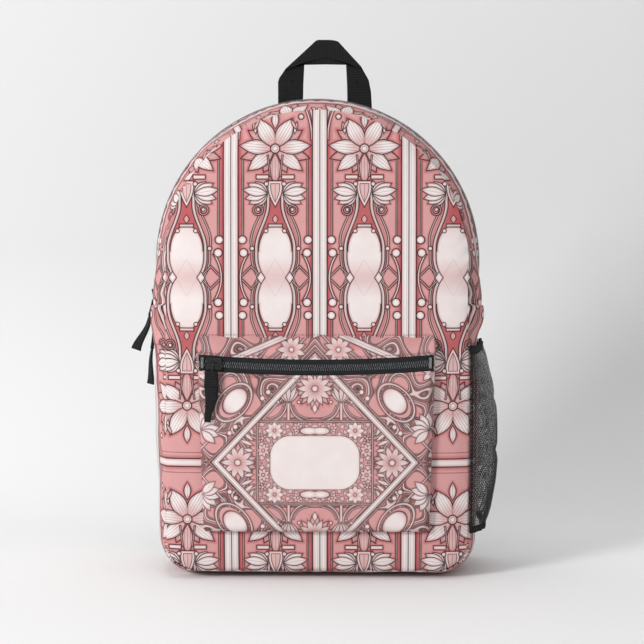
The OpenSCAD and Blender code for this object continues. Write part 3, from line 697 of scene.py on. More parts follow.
def shell(name, grid, uv, thick, material, slot_name, flip=False):
    """A closed sheet of cloth: the grid is its outer face, and its inner face lies thick behind it."""
    rows, cols = len(grid), len(grid[0])
    inner = []
    for i in range(rows):
        for j in range(cols):
            du = grid[min(i + 1, rows - 1)][j] - grid[max(i - 1, 0)][j]
            dv = grid[i][min(j + 1, cols - 1)] - grid[i][max(j - 1, 0)]
            n = du.cross(dv)
            n = n.normalized() if n.length > 1e-12 else Vector((0, 0, 0))
            inner.append(grid[i][j] - n * (-thick if flip else thick))
    verts = [p for row in grid for p in row] + inner
    uvs = [c for row in uv for c in row] * 2
    size = rows * cols
    faces = grid_faces(rows, cols, 0, flip) + grid_faces(rows, cols, size, not flip)
    rim = list(range(cols)) + [i * cols + cols - 1 for i in range(1, rows)]
    rim += [(rows - 1) * cols + j for j in range(cols - 2, -1, -1)]
    rim += [i * cols for i in range(rows - 2, 0, -1)]
    for a, b in zip(rim, rim[1:] + rim[:1]):
        quad = (a, b, b + size, a + size)
        faces.append(quad[::-1] if flip else quad)
    obj = mesh_object(name, verts, faces, uvs, material)
    if slot_name == "printed_fabric":  # printed cloth is lined
        obj.data.materials.append(LINING)
        count = (rows - 1) * (cols - 1)
        for face in obj.data.polygons[count:2 * count]:
            face.material_index = 1
    return obj


def sheet(name, rows, cols, point, thick, body, nodes,
          material=PRINTED, slot_name="printed_fabric", flip=True):
    """A shell through point(i, j), which gives a place and its flat coordinates."""
    cells = [[point(i, j) for j in range(cols + 1)] for i in range(rows + 1)]
    grid, uv = ([[cell[k] for cell in row] for row in cells] for k in (0, 1))
    return settle(shell(name, grid, uv, thick, material, slot_name, flip), body, *nodes)


def tube(name, rings, uv, material, flip=False):
    """A closed body lofted through rings of equal length, with fan caps."""
    n = len(rings[0])
    verts = [p for ring in rings for p in ring]
    uvs = [c for ring in uv for c in ring]
    faces = grid_faces(len(rings), n, 0, flip, wrap=True)
    for ring, start, turn in ((rings[0], 0, not flip), (rings[-1], (len(rings) - 1) * n, flip)):
        verts.append(sum(ring, Vector()) / n)
        uvs.append(uvs[start])
        for j in range(n):
            tri = (len(verts) - 1, start + j, start + (j + 1) % n)
            faces.append(tri if turn else tri[::-1])
    return mesh_object(name, verts, faces, uvs, material)


def ribbon(name, pts, across, width, thick, body, *nodes, crown=0.0):
    """Flat webbing along pts. Its width, and its direction, are given once or for each point."""
    rings, uvs, run = [], [], 0.0
    across = across if isinstance(across, list) else [across] * len(pts)
    widths = width if isinstance(width, list) else [width] * len(pts)
    profile = [(-1, -0.25), (-0.985, -0.5), (-0.5, -0.5), (0, -0.5), (0.5, -0.5), (0.985, -0.5), (1, -0.25)]
    profile += [(-a, -b) for a, b in profile]
    for i, p in enumerate(pts):
        run += (p - pts[i - 1]).length if i else 0
        ahead = (pts[min(i + 1, len(pts) - 1)] - pts[max(i - 1, 0)]).normalized()
        side = (across[i] - ahead * across[i].dot(ahead)).normalized()
        up = side.cross(ahead)
        half = widths[i] / 2
        rings.append([p + side * (a * half) + up * (b * thick + crown * (1 - a * a)) for a, b in profile])
        uvs.append([(a * half, run) for a, b in profile])
    return settle(tube(name, rings, uvs, WEBBING), body, *nodes)


def join_bits(name, bits, material):
    """One piece from many small closed bits, each (verts, faces)."""
    verts, faces = [], []
    for v, f in bits:
        base = len(verts)
        verts += v
        faces += [tuple(base + k for k in face) for face in f]
    return mesh_object(name, verts, faces, [(v[0], v[2]) for v in verts], material)


def capsule(a, b, r, side, sides=6, squash=1.0):
    """A short thread or wire from a to b, thickest in its middle."""
    ahead = (b - a).normalized()
    u = (side - ahead * side.dot(ahead)).normalized()
    w = ahead.cross(u)
    verts = [a]
    for t, k in ((0.12, 0.75), (0.5, 1.0), (0.88, 0.75)):
        c = a.lerp(b, t)
        for j in range(sides):
            g = TAU * j / sides
            verts.append(c + u * (math.cos(g) * r * k) + w * (math.sin(g) * r * k * squash))
    verts.append(b)
    last = len(verts) - 1
    faces = [(0, 1 + (j + 1) % sides, 1 + j) for j in range(sides)]
    for i in range(2):
        for j in range(sides):
            k, m = 1 + i * sides + j, 1 + i * sides + (j + 1) % sides
            faces.append((k, m, m + sides, k + sides))
    faces += [(last, last - sides + j, last - sides + (j + 1) % sides) for j in range(sides)]
    return verts, faces


def pillow(name, outline, y0, rise, thick, body, nodes=(), material=WEBBING, facing=1):
    """A flat sewn patch with softly rounded edges, facing +Y or -Y."""
    c = sum((Vector((x, 0, z)) for x, z in outline), Vector()) / len(outline)
    levels = ((1.0, 0.0), (0.985, 0.55), (0.955, 0.9), (0.8, 1.0), (0.5, 1.0), (0.2, 1.0), (0.02, 1.0))
    verts, n = [], len(outline)
    for k, h in levels:
        ring = [c + (Vector((x, 0, z)) - c) * k for x, z in outline]
        verts += [Vector((p.x, y0 + facing * h * rise, p.z)) for p in ring]
    back = len(verts)
    verts += [Vector((p.x, y0 - facing * thick, p.z)) for p in verts[:n]]
    caps = [(j, (j + 1) % n, back + (j + 1) % n, back + j) for j in range(n)]
    caps += [tuple(range(back - n, back)), tuple(range(back, back + n))[::-1]]
    faces = grid_faces(len(levels), n, 0, facing > 0, wrap=True)
    faces += [cap[::-1] for cap in caps] if facing > 0 else caps
    uvs = [(p.x, p.z) for p in verts]
    return settle(mesh_object(name, verts, faces, uvs, material), body, *nodes)


def smooth(t):
    t = min(max(t, 0.0), 1.0)
    return t * t * (3 - 2 * t)


def rumple(x, y, z, scale):
    """Soft unevenness of cloth, about -1 to 1."""
    return noise.noise(Vector((x, y, z)) * scale)


# ---------------------------------------------------------------- the bag's outline
ARC_END = math.asin((ZIP_CORNER_Z - ARCH_Z) / ARCH_R)
LEAN = (SIDE_HALF - ARCH_R * math.cos(ARC_END)) / (ZIP_CORNER_Z - WIDEST_Z)
PANEL_FOOT = 0.62  # a flat panel's foot lies this share of its inset above the floor


def side_x(z):
    if z > WIDEST_Z:
        return SIDE_HALF - (z - WIDEST_Z) * LEAN
    return FOOT_HALF + (SIDE_HALF - FOOT_HALF) * (z - CORNER_R) / (WIDEST_Z - CORNER_R)


def inset(y, front_share=1.0):
    if y < ZIP_Y:
        return front_share * FRONT_INSET * ((ZIP_Y - y) / (ZIP_Y - FRONT_Y)) ** 2.2
    return BACK_INSET * ((y - 0.03) / (BACK_Y - 0.03)) ** 2 if y > 0.03 else 0.0


def belly(x, y, z):
    """The filled bag's swell before and behind the zip, most where the sides turn straight."""
    low_fade = 0.040 if x < 0 else 0.022
    rise = math.exp(-((z - 0.252) / (low_fade if z < 0.252 else 0.034)) ** 2)
    front, back = ZIP_Y - TAPE_HALF - FRONT_Y, BACK_Y - ZIP_Y - TAPE_HALF
    if y < ZIP_Y - TAPE_HALF:
        return 11.5 * MM * rise * math.sin(math.pi * (y - FRONT_Y) / front) ** 0.8
    if y > ZIP_Y + TAPE_HALF:
        return 8.5 * MM * rise * math.sin(math.pi * min((BACK_Y - y) / back, 1.0)) ** 0.8
    return 0.0


def arch_path(a0, a1, n):
    """Outline stations: (x, z, outward x, outward z, share of the inset, run along the cloth)."""
    out = []
    for i in range(n + 1):
        a = a0 + (a1 - a0) * i / n
        run = ZIP_CORNER_Z + ARCH_R * (min(a, math.pi - a) - ARC_END)
        out.append((ARCH_R * math.cos(a), ARCH_Z + ARCH_R * math.sin(a), math.cos(a), math.sin(a), 1.0, run))
    return out


def side_path(s, z0, z1, n):
    zs = [z0 + (z1 - z0) * i / n for i in range(n + 1)]
    return [(s * side_x(z), z, s, 0.0, (side_x(z) - SEAM_HALF) / FRONT_INSET, z) for z in zs]


def corner_path(s, n):
    out = []
    for i in range(n + 1):
        a = math.radians(4 + 84 * i / n)
        out.append((s * (FOOT_HALF - CORNER_R + CORNER_R * math.cos(a)), CORNER_R * (1 - math.sin(a)),
                    s * math.cos(a), -math.sin(a), 0.96 - 0.36 * a / (math.pi / 2), CORNER_R * (1 - a)))
    return out


def upper_path(z0):
    """From the right side at z0 over the round top to the left side."""
    sides = side_path(1, z0, ZIP_CORNER_Z - MM, 12)
    return sides + arch_path(ARC_END, math.pi - ARC_END, 120) + side_path(-1, ZIP_CORNER_Z - MM, z0, 12)


def on_bag(p, y, out=0.0):
    u = out - (inset(y, p[4]) if y < ZIP_Y else inset(y) * min(p[4], 1.0))
    return Vector((p[0] + p[2] * u, y, p[1] + p[3] * u))


def pucker(run, y, edges, depth):
    """Small gathers that die out away from the seams at the depths in edges."""
    near = max(math.exp(-abs(y - e) / 0.007) for e in edges)
    return depth * near * (math.sin(run * TAU / 0.0125 + 3 * math.sin(run * 40)) - 0.4)


def half_width(z, d, seam=False):
    """Half width of a flat panel whose seam lies d inside the outline, at height z."""
    r = ARCH_R - d
    if z >= ARCH_Z:
        return math.sqrt(max(r * r - (z - ARCH_Z) ** 2, 0.0))
    if seam:
        flat = SEAM_HALF
    elif z >= ZIP_CORNER_Z:
        flat = math.sqrt(r * r - (z - ARCH_Z) ** 2)
    else:
        flat = side_x(max(z, CORNER_R)) - d
    cr = CORNER_R - d * 0.8
    return flat - cr + math.sqrt(max(cr * cr - max(CORNER_R - z, 0.0) ** 2, 0.0))


def from_edge(x, z, d, seam=False):
    """How far (x, z) lies inside the edge of such a panel."""
    if z > ARCH_Z:
        return max(ARCH_R - d - math.hypot(x, z - ARCH_Z), 0.0)
    return max(min(half_width(z, d, seam) - abs(x), z - d * PANEL_FOOT), 0.0)


def flat_panel(name, d, seam, depth, *made_of):
    """The front or the back: its outer face lies at depth(x, z). Its rows crowd towards the round top."""
    z0, z1, rows, cols = d * PANEL_FOOT, ARCH_Z + ARCH_R - d - 0.05 * MM, 150, 110

    def point(i, j):
        z = z0 + (z1 - z0) * math.sin(math.pi / 2 * i / rows)
        x = half_width(z, d, seam) * math.sin(math.pi / 2 * (2 * j / cols - 1))
        return Vector((x, depth(x, z), z)), (x, z)

    return sheet(name, rows, cols, point, *made_of)


def gusset(name, path, y0, y1, n, edges, body, *nodes, flip=True):
    def point(i, j):
        p, y = path[i], y0 + (y1 - y0) * j / n
        swell = 1.6 * MM * rumple(p[0], y, p[1], 22) + pucker(p[5], y, edges, 1.2 * MM) + belly(p[0], y, p[1])
        free = min(math.sin(math.pi * j / n) * 2.5, 1.0)
        return on_bag(p, y, (swell - 0.6 * MM) * free), (0.141 + (y - FRONT_Y) * 1.15, p[5])

    sheet(name, len(path) - 1, n, point, 1.3 * MM, body, nodes, flip=flip)


def front_depth(x, z):
    """Depth of the crowned front panel at (x, z)."""
    edge = from_edge(x, z, FRONT_INSET, True)
    crown = 0.5 * MM + 6.0 * MM * (1 - math.exp(-edge / 0.013))
    along = math.atan2(z - 0.2, abs(x) + MM) * 0.17
    crown += 0.9 * MM * math.sin(along * TAU / 0.0135 + 3 * math.sin(along * 45)) * math.exp(-edge / 0.007)
    wave = 1.1 * MM * rumple(x, 0.3, z, 13) + 0.5 * MM * rumple(x, 0.9, z, 34)
    return FRONT_Y - crown - wave * (1 - math.exp(-edge / 0.03))


flat_panel("front_panel_cloth", FRONT_INSET, True, front_depth, 1.3 * MM, FOLDING,
           ("front_panel_lower", "front_panel_upper"))
ZIP_FRONT, ZIP_BACK = ZIP_Y - TAPE_HALF, ZIP_Y + TAPE_HALF
gusset("front_gusset_cloth", upper_path(SEAM_Z), FRONT_Y, ZIP_FRONT + MM, 14, (FRONT_Y, ZIP_FRONT),
       FOLDING, "front_gusset_lower", "front_gusset_upper")
gusset("rear_gusset_cloth", upper_path(SEAM_Z), ZIP_BACK - MM, BACK_Y, 20, (ZIP_BACK, BACK_Y),
       "root", "rear_gusset_strip")
bottom = [(x * MM, 0.0, 0.0, -1.0, 0.6, CORNER_R * (1 - math.pi / 2) - (118 - abs(x)) * MM)
          for x in range(112, -113, -7)]
base_path = side_path(1, SEAM_Z + 1.5 * MM, CORNER_R, 30) + corner_path(1, 14) + bottom
base_path += corner_path(-1, 14)[::-1] + side_path(-1, CORNER_R, SEAM_Z + 1.5 * MM, 30)
gusset("base_cloth", base_path, FRONT_Y, BACK_Y, 30, (FRONT_Y, BACK_Y), "root", "base_gusset", flip=False)


# ---------------------------------------------------------------- front pocket
def sag(x):
    """Height of the sagging pocket zip at x."""
    return ZIP_SAG_Z + ZIP_SAG_R - math.sqrt(ZIP_SAG_R ** 2 - x * x)


def pocket_half(z):
    return POCKET_FOOT + (POCKET_W - POCKET_FOOT) * (z - POCKET_Z0) / (ZIP_SAG_Z - POCKET_Z0)


def pocket_swell(x, t):
    """How far the filled pocket stands out; t is 0 at the bottom seam and 1 at the zip."""
    across = 1 - (abs(x) / POCKET_W) ** 4
    swell = 3.4 * MM * across * math.sin(math.pi * min(t * 0.9 + 0.06, 1))
    return swell + 0.6 * MM * rumple(x, 2.0, t * 0.17, 16)


def pocket_face(i, j):
    t, w = i / 70, math.sin(math.pi / 2 * (2 * j / 90 - 1))
    top = sag(w * POCKET_W) - POCKET_TAPE + 0.8 * MM
    corner = 3 * MM * (1 - smooth((t * (top - POCKET_Z0)) / (6 * MM))) * abs(w) ** 30
    z = POCKET_Z0 + (top - POCKET_Z0) * t + corner
    x = w * pocket_half(z)
    roll = max(smooth((abs(w) - 0.955) / 0.045), smooth((0.035 - t) / 0.035))
    return Vector((x, POCKET_Y - pocket_swell(x, t) + 3.2 * MM * roll - 0.6 * MM * (1 - roll), z)), (x, z)


def pocket_top(i, j):
    """The strip between the zip and the top seam, ruffled along the seam."""
    t, x = i / 16, POCKET_W * (2 * j / 150 - 1)
    low = sag(x) + POCKET_TAPE - 0.8 * MM
    ruffle = math.sin(x * TAU / 0.026 + 2.2 * math.sin(x * 31)) * smooth(t * 1.2)
    z = low + (POCKET_TOP_Z - low + 1.0 * MM * ruffle) * t
    y = POCKET_Y + (PANEL_Y - 5.4 * MM - POCKET_Y) * smooth(t) ** 1.6 - 1.6 * MM * math.sin(math.pi * t)
    y -= 0.9 * MM * ruffle * math.sin(math.pi * min(t * 1.1, 1))
    y += 1.2 * MM if t > 0.93 else 0.0
    return Vector((x, y, z)), (x, z)


def pocket_sides():
    """The narrow gusset round the pocket's sides and bottom."""
    stations, r = [], 3 * MM
    top = sag(POCKET_W) + POCKET_TAPE + 12 * MM
    for i in range(31):
        z = top + (POCKET_Z0 + r - top) * i / 30
        stations.append((pocket_half(z), z, 1.0, 0.0))
    for i in range(1, 9):
        c, s = math.cos(math.pi / 2 * i / 8), math.sin(math.pi / 2 * i / 8)
        stations.append((POCKET_FOOT - r + r * c, POCKET_Z0 + r - r * s, c, -s))
    stations += [((95 - 5 * k) * MM, POCKET_Z0, 0.0, -1.0) for k in range(39)] + [
        (-x, z, -nx, nz) for x, z, nx, nz in stations[::-1]]
    runs = [0.0]
    for a, b in zip(stations, stations[1:]):
        runs.append(runs[-1] + math.hypot(b[0] - a[0], b[1] - a[1]))

    def point(i, j):
        x, z, nx, nz = stations[i]
        t = j / 6
        back = front_depth(x, z) + 0.6 * MM
        front = POCKET_Y + 3.0 * MM
        front += (back - 1.5 * MM - front) * smooth((z - sag(POCKET_W)) / 0.02)
        out = 0.9 * MM * math.sin(math.pi * t) - 0.4 * MM + 0.4 * MM * rumple(x, t, z, 40)
        place = Vector((x + nx * out, front + (back - front) * t, z + nz * out))
        return place, (0.111 + 0.014 * j / 6, runs[i])

    sheet("pocket_gusset_cloth", len(stations) - 1, 6, point, 1.0 * MM, "root", ("pocket_gusset",),
          POCKET_PRINT, flip=False)


sheet("pocket_cloth", 70, 90, pocket_face, 1.2 * MM, "root", ("pocket_panel",), POCKET_PRINT)
sheet("pocket_top_cloth", 16, 150, pocket_top, 1.2 * MM, "root", ("pocket_top_strip",), POCKET_PRINT)
pocket_sides()

# ---------------------------------------------------------------- zips
COIL_PITCH = 2.1 * MM
TAPE_HIGH = -0.6 * MM


class ZipLine:
    """Stations along a zip: place, direction across the zip, direction out of the cloth."""

    def __init__(self, stations, half):
        self.stations, self.half = stations, half
        self.runs = [0.0]
        for a, b in zip(stations, stations[1:]):
            self.runs.append(self.runs[-1] + (b[0] - a[0]).length)

    def at(self, run):
        i = max(k for k, r in enumerate(self.runs[:-1]) if r <= run + 1e-9)
        t = min((run - self.runs[i]) / (self.runs[i + 1] - self.runs[i]), 1.0)
        a, b = self.stations[i], self.stations[i + 1]
        return [a[k].lerp(b[k], t) for k in range(3)]


def zip_tape(name, line, s, body, *nodes):
    def point(i, j):
        c, across, out = line.stations[i]
        reach = 0.1 * MM + (line.half - 0.1 * MM) * j / 6
        return c + across * (s * reach) + out * TAPE_HIGH, (j / 6 * line.half, line.runs[i])

    sheet(name, len(line.stations) - 1, 6, point, 0.8 * MM, body, nodes, TAPE, "zip_tape", s > 0)


def zip_coil(name, line, s, body, *nodes):
    """One side's nylon coil: a slanted loop every pitch, over a core cord."""
    bits = []
    for k in range(int(line.runs[-1] / COIL_PITCH)):
        run = (k + (0.5 if s > 0 else 0.0) + 0.25) * COIL_PITCH
        if run > line.runs[-1]:
            break
        c, across, out = line.at(run)
        ahead = across.cross(out).normalized() * 0.35 * MM
        a = c - across * (s * 0.3 * MM) + out * 0.45 * MM - ahead
        bits.append(capsule(a, c + across * (s * 3.3 * MM) + ahead, 0.36 * MM, out))
        h = c + across * (s * 1.15 * MM) + out * 0.75 * MM
        m = c + across * (s * 2.0 * MM) + out * 0.65 * MM
        bits.append(capsule(h, m, 0.6 * MM, out, 6, 0.9))
    settle(join_bits(name, bits, COIL), body, *nodes)


zip_stations = [(Vector((p[0], ZIP_Y, p[1])), Vector((0, 1, 0)), Vector((p[2], 0, p[3])))
                for p in upper_path(ZIP_END_Z)]
main_line = ZipLine(zip_stations, TAPE_HALF - 0.4 * MM)
for kind, make in (("tape", zip_tape), ("coil", zip_coil)):
    node = "main_zip_" + kind
    make(f"main_{kind}_front", main_line, -1, FOLDING, node + "_front", node + "_front_ends")
for kind, make in (("tape", zip_tape), ("coil", zip_coil)):
    make(f"main_{kind}_rear", main_line, 1, "root", f"main_zip_{kind}_rear")

pocket_stations = []
for i in range(61):
    x = (POCKET_W - 1.5 * MM) * (2 * i / 60 - 1)
    tilt = math.asin(x / ZIP_SAG_R)
    across = Vector((-math.sin(tilt), 0, math.cos(tilt)))
    pocket_stations.append((Vector((x, POCKET_Y, sag(x))), across, Vector((0, -1, 0))))
pocket_line = ZipLine(pocket_stations, POCKET_TAPE - 0.4 * MM)
for kind, make in (("tape", zip_tape), ("coil", zip_coil)):
    for s, side in ((1, "upper"), (-1, "lower")):
        make(f"pocket_{kind}_{side}", pocket_line, s, "root", f"pocket_zip_{kind}_{side}")


# ---------------------------------------------------------------- pullers
def puller(name, node, body, bend, edge_on, twist=0.0):
    """Folded webbing head and a narrowing tail that curls at its end, inside its CAD node's box."""
    lo_c, hi_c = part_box(node)
    top = Vector(((lo_c.x + hi_c.x) / 2, (lo_c.y + hi_c.y) / 2, hi_c.z))
    foot = Vector((top.x, top.y, lo_c.z))
    if edge_on:
        top.x, foot.x = hi_c.x - 1.6 * MM, lo_c.x + 1.2 * MM
    pts, widths, sides, n = [], [], [], 26
    for i in range(n + 1):
        t = i / n
        pts.append(top.lerp(foot, t) + bend * smooth((t - 0.45) / 0.55))
        head = smooth((0.30 - t) / 0.04)
        slim = 6.5 + 5.5 * t if edge_on else 13.0 - 7.0 * smooth((t - 0.3) / 0.7)
        widths.append(slim * MM * (1 - head) + (11.5 + 7 * t) * MM * head * (0.6 if edge_on else 1.0))
        turn = twist * i / n
        sides.append(Vector((math.sin(turn), math.cos(turn), 0)) if edge_on else Vector((1, 0, 0)))
    ribbon(name, pts, sides, widths, 1.7 * MM, body, node)
    cut = 9  # the head ends at this point
    widths = [w + 0.5 * MM for w in widths[:cut]]
    ribbon(name + "_head", pts[:cut], sides[:cut], widths, 2.9 * MM, body, crown=0.2 * MM)


puller("upper_puller_webbing", "upper_puller", "upper_pull", Vector((-6, -1, 1)) * MM, True, -0.95)
puller("lower_puller_webbing", "lower_puller", "lower_pull", Vector((3, -1, 0)) * MM, True, -0.6)
puller("pocket_puller_webbing", "pocket_puller", "pocket_pull", Vector((-4, 2, 2)) * MM, False)


# ---------------------------------------------------------------- mesh side pocket
mesh_lo, mesh_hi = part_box("mesh_pocket")
MESH_BULGE = 17.5 * MM
MESH_HALF_Y = mesh_hi.y + 1.5 * MM


def net_point(h, w, lift=0.0):
    """The net at height share h and depth share w."""
    z = mesh_lo.z + (mesh_hi.z - mesh_lo.z) * h
    y = w * MESH_HALF_Y
    free = 1 - abs(w) ** 3
    bulge = (0.2 + 0.8 * abs(math.sin(math.pi * h ** 0.76)) ** 0.9) * MESH_BULGE * (1 - abs(w) ** 2.4)
    gather = (1 - h) ** 1.5 * 1.7 * MM * math.sin(w * 33 + 2 * math.sin(h * 5)) * free
    crease = 2.6 * MM * math.exp(-((h - 0.42 - 0.05 * w) / 0.03) ** 2) * free
    crease += 1.8 * MM * math.exp(-((h - 0.68 + 0.12 * w) / 0.03) ** 2) * free
    rough = 1.3 * MM * rumple(w * 0.06, 5.0, z, 45) * free
    skin = side_x(z) - inset(y, (side_x(z) - SEAM_HALF) / FRONT_INSET) + 1.6 * MM
    out = max(bulge + gather - crease + rough, 0.0)
    return Vector((skin + out + lift, y, z + 1.5 * MM * math.sin(w * 9) * h))


def net_cell(i, j):
    w = 2 * j / 60 - 1
    return net_point(i / 70, w), (MESH_HALF_Y * 1.15 * w, i / 70 * 0.185)


net = sheet("net_pocket", 70, 60, net_cell, 0.35 * MM, "root", ("mesh_pocket",), NET, "pocket_mesh")
rim = [net_point(1.0, 2 * j / 60 - 1, 0.5 * MM) - Vector((0, 0, 3.2 * MM)) for j in range(61)]
ribbon("net_rim_binding", rim, Vector((0, 0, 1)), 8 * MM, 1.5 * MM, "root", "mesh_pocket_binding")
for name, w in (("net_front_binding", -0.985), ("net_back_binding", 0.985)):
    edge = [net_point(i / 40, w, 0.4 * MM) for i in range(41)]
    ribbon(name, edge, Vector((0, 1, 0)), 4.5 * MM, 1.2 * MM, "root")
foot = [net_point(0.012, 2 * j / 40 - 1, 0.5 * MM) for j in range(41)]
ribbon("net_foot_binding", foot, Vector((0, 0, 1)), 6 * MM, 1.4 * MM, "root")


# ---------------------------------------------------------------- grab handle
def grab_handle():
    """Flat webbing up, folded over at each upper corner, across in front of the legs and down again."""
    a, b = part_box("top_handle")
    y, cx, f = (a.y + b.y) / 2, (a.x + b.x) / 2, (a.z - 8 * MM - b.z) / MM
    left = [(-47.5, f), (-22.5, f), (-22, -45), (-21, -25), (-20, -19), (-33, -22), (-41.5, -31),
            (-46.3, -38), (-47.5, -42)]
    right = [(22.5, f), (47.5, f), (46.2, -52), (43.8, -40), (38, -30), (31, -23), (20, -19), (21, -25),
             (22, -45)]
    band = [(-41.5, -31), (-31, -25.8), (-21, -25), (0, -24.6), (21, -25), (31, -26), (38, -30), (36, -26.5),
            (13, -1.6), (9, -0.5), (4, 0), (-7, 0), (-9.5, -1), (-39, -28)]
    pieces = (("handle_left_leg", left, 0, ("top_handle",)), ("handle_right_leg", right, 0, ()),
              ("handle_band", band, 1.7 * MM, ()))
    for name, outline, ahead, nodes in pieces:
        outline = [(cx + x * MM, b.z + z * MM) for x, z in outline]
        obj = pillow(name, outline, y - ahead, 0.7 * MM, 0.8 * MM, "handle", nodes, facing=-1)
    for item in obj.data.uv_layers["Cloth"].data:
        item.uv = (item.uv[1], item.uv[0])


grab_handle()


# ---------------------------------------------------------------- back panel and straps
def back_depth(x, z):
    """Padded back: a raised border and two long pads with a channel between them."""
    edge = from_edge(x, z, BACK_INSET)
    rise = 1 - math.exp(-edge / 0.012)
    channel = math.exp(-((abs(x)) / 0.007) ** 2)
    cross = sum(math.exp(-((z - c) / 0.0055) ** 2) for c in (0.115, 0.205, 0.295))
    hem = math.exp(-((edge - 0.013) / 0.0022) ** 2)
    deep = min(channel + cross * (1 if abs(x) < 0.118 else 0.0) + hem, 1.0)
    return BACK_PANEL_Y - 1.6 * MM + (4.2 * rise - 3.2 * deep * rise) * MM


def node_outline(node, r, n=6):
    """A rounded rectangle round a node's box in the XZ plane."""
    a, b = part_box(node)
    pts = []
    corners = ((b.x - r, b.z - r), (a.x + r, b.z - r), (a.x + r, a.z + r), (b.x - r, a.z + r))
    for q, (cx, cz) in enumerate(corners):
        turns = [(q + k / n) * math.pi / 2 for k in range(n + 1)]
        pts += [(cx + r * math.cos(g), cz + r * math.sin(g)) for g in turns]
    return pts


back = flat_panel("back_pad", BACK_INSET, False, back_depth, 6.5 * MM, "root", ("back_panel", "back_foam"),
                  AIR_MESH, "air_mesh", False)
YOKE_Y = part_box("strap_yoke")[0].y
yoke = [(x * MM, z * MM) for x, z in ((92, 404), (92, 414), (84, 424))]
yoke += [(x * MM, (428 + 2.5 * math.cos(x / 84 * 1.5)) * MM) for x in (60, 40, 20, 0, -20, -40, -60)]
yoke += [(-x, z) for x, z in yoke[2::-1]]
yoke += [(x * MM, 404 * MM) for x in (-60, -30, 0, 30, 60)]
pillow("yoke_cloth", yoke, YOKE_Y + 3.0 * MM, 1.0 * MM, 3.2 * MM, "root", ("strap_yoke",), BLACK_CLOTH)
pillow("handle_patch_cloth", node_outline("handle_patch", 3 * MM), YOKE_Y + 2.6 * MM, 0.8 * MM, 2.8 * MM,
       "root", ("handle_patch",))


def strap(side, name):
    """Padded strap: crowned mesh cloth over foam, with a flat stitched border."""
    a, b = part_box("strap_cover_" + name)
    seam_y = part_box("strap_yoke")[1].y + 2.0 * MM
    half, body = 5.5 * MM, "strap_" + name

    def middle(s):
        """The strap's centre line at share s of its length: across, out and up."""
        bow = math.sin(math.pi * s)
        return (54 + 44 * s + 14 * bow) * MM, seam_y + half + 12 * MM * bow, b.z + (a.z - b.z) * s

    rings, uvs, n = [], [], 60
    for i in range(n + 1):
        s = i / n
        cx, cy, z = middle(s)
        hw = (31 + 5 * math.sin(math.radians(150) * s) - 10 * s ** 3) * MM
        puff = 1 - 0.45 * (math.exp(-s / 0.02) + math.exp(-(1 - s) / 0.02))
        ring, coords = [], []
        for j in range(36):
            g = TAU * (j + 0.5) / 36
            c, v = math.cos(g), math.sin(g)
            u = math.copysign(abs(c) ** 0.45, c)
            border = smooth((abs(u) - 0.80) / 0.05) * (1 - 0.35 * smooth((abs(u) - 0.86) / 0.05))
            h = half * puff * (1 - 0.62 * border) * (1 - 0.12 * u * u)
            y = cy + math.copysign(abs(v) ** 0.6, v) * h + 0.5 * MM * rumple(cx * 3, v, z, 30)
            ring.append(Vector((side * (cx + u * hw), y, z)))
            coords.append((u * hw, s * 0.26))
        rings.append(ring)
        uvs.append(coords)
    pad = tube("strap_pad_" + name, rings, uvs, AIR_MESH, flip=side < 0)
    settle(pad, body, "strap_cover_" + name, "strap_foam_" + name)

    def webbing(piece, pts, thick, rides_on, node):
        ribbon(piece + name, pts, Vector((1, 0, 0)), 25 * MM, thick * MM, rides_on, node + name)

    # webbing that runs down the pad to the lock
    lock_lo, lock_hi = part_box("ladder_lock_" + name)
    lx, ly = (lock_lo.x + lock_hi.x) / 2, (lock_lo.y + lock_hi.y) / 2
    pts = []
    for i in range(31):
        s = 0.30 + 0.70 * i / 30
        cx, cy, z = middle(s)
        pts.append(Vector((side * cx, cy + half * (1 - 0.45 * math.exp(-(1 - s) / 0.02)) + 0.9 * MM, z)))
    pts += [Vector((lx, ly + y * MM, lock_hi.z + z * MM)) for y, z in ((2.6, 2), (1.2, -3), (-0.8, -5))]
    webbing("strap_webbing_", pts, 1.6, body, "lock_tab_")
    # loose end: over the lock's lower bar and down, curling away a little
    tail_lo, tail_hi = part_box("strap_tail_" + name)
    ty, drop = tail_lo.y, tail_hi.z - tail_lo.z - 16 * MM
    over = ((-0.6, ly, 8), (1.6, ly, 9.5), (1.2, ty, 7))
    pts = [Vector((lx, y * MM + y0, lock_lo.z + z * MM)) for y, y0, z in over]
    for t in [k / 14 for k in range(15)]:
        pts.append(Vector((lx + side * 2.5 * MM * t, ty + 1.6 * MM + 3 * MM * math.sin(t * 2.6),
                           lock_lo.z + 4 * MM - drop * t)))
    pts += [pts[-1] + Vector((0, y * MM, z * MM)) for y, z in ((1.6, -1.2), (2.4, 2.5), (2.2, 9))]
    webbing("strap_tail_webbing_", pts, 1.5, body, "strap_tail_")
    # lower webbing, from its tab up behind the lock
    w_lo, w_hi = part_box("lower_webbing_" + name)
    foot_x = (w_hi.x if side > 0 else w_lo.x) - side * 12.5 * MM
    foot = Vector((foot_x, w_lo.y + 1.0 * MM, w_lo.z - 6 * MM))
    head = Vector((lx, ly - 1.0 * MM, w_hi.z + 34 * MM))
    pts = [foot.lerp(head, k / 24) for k in range(25)]
    webbing("anchor_webbing_", pts, 1.5, "webbing_" + name, "lower_webbing_")
    tab_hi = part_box("anchor_tab_" + name)[1]
    tab = [(-13, 2), (13, 2), (17, -5), (22, -13), (21, -14), (-13, -14), (-14, -13), (-13.5, -5)][::-side]
    tab = [(foot_x + side * x * MM, tab_hi.z - 2 * MM + z * MM) for x, z in tab]
    pillow("anchor_tab_cloth_" + name, tab, tab_hi.y + 1.2 * MM, 1.4 * MM, 2.6 * MM, "root",
           ("anchor_tab_" + name,), BLACK_CLOTH)


strap(-1, "left")
strap(1, "right")

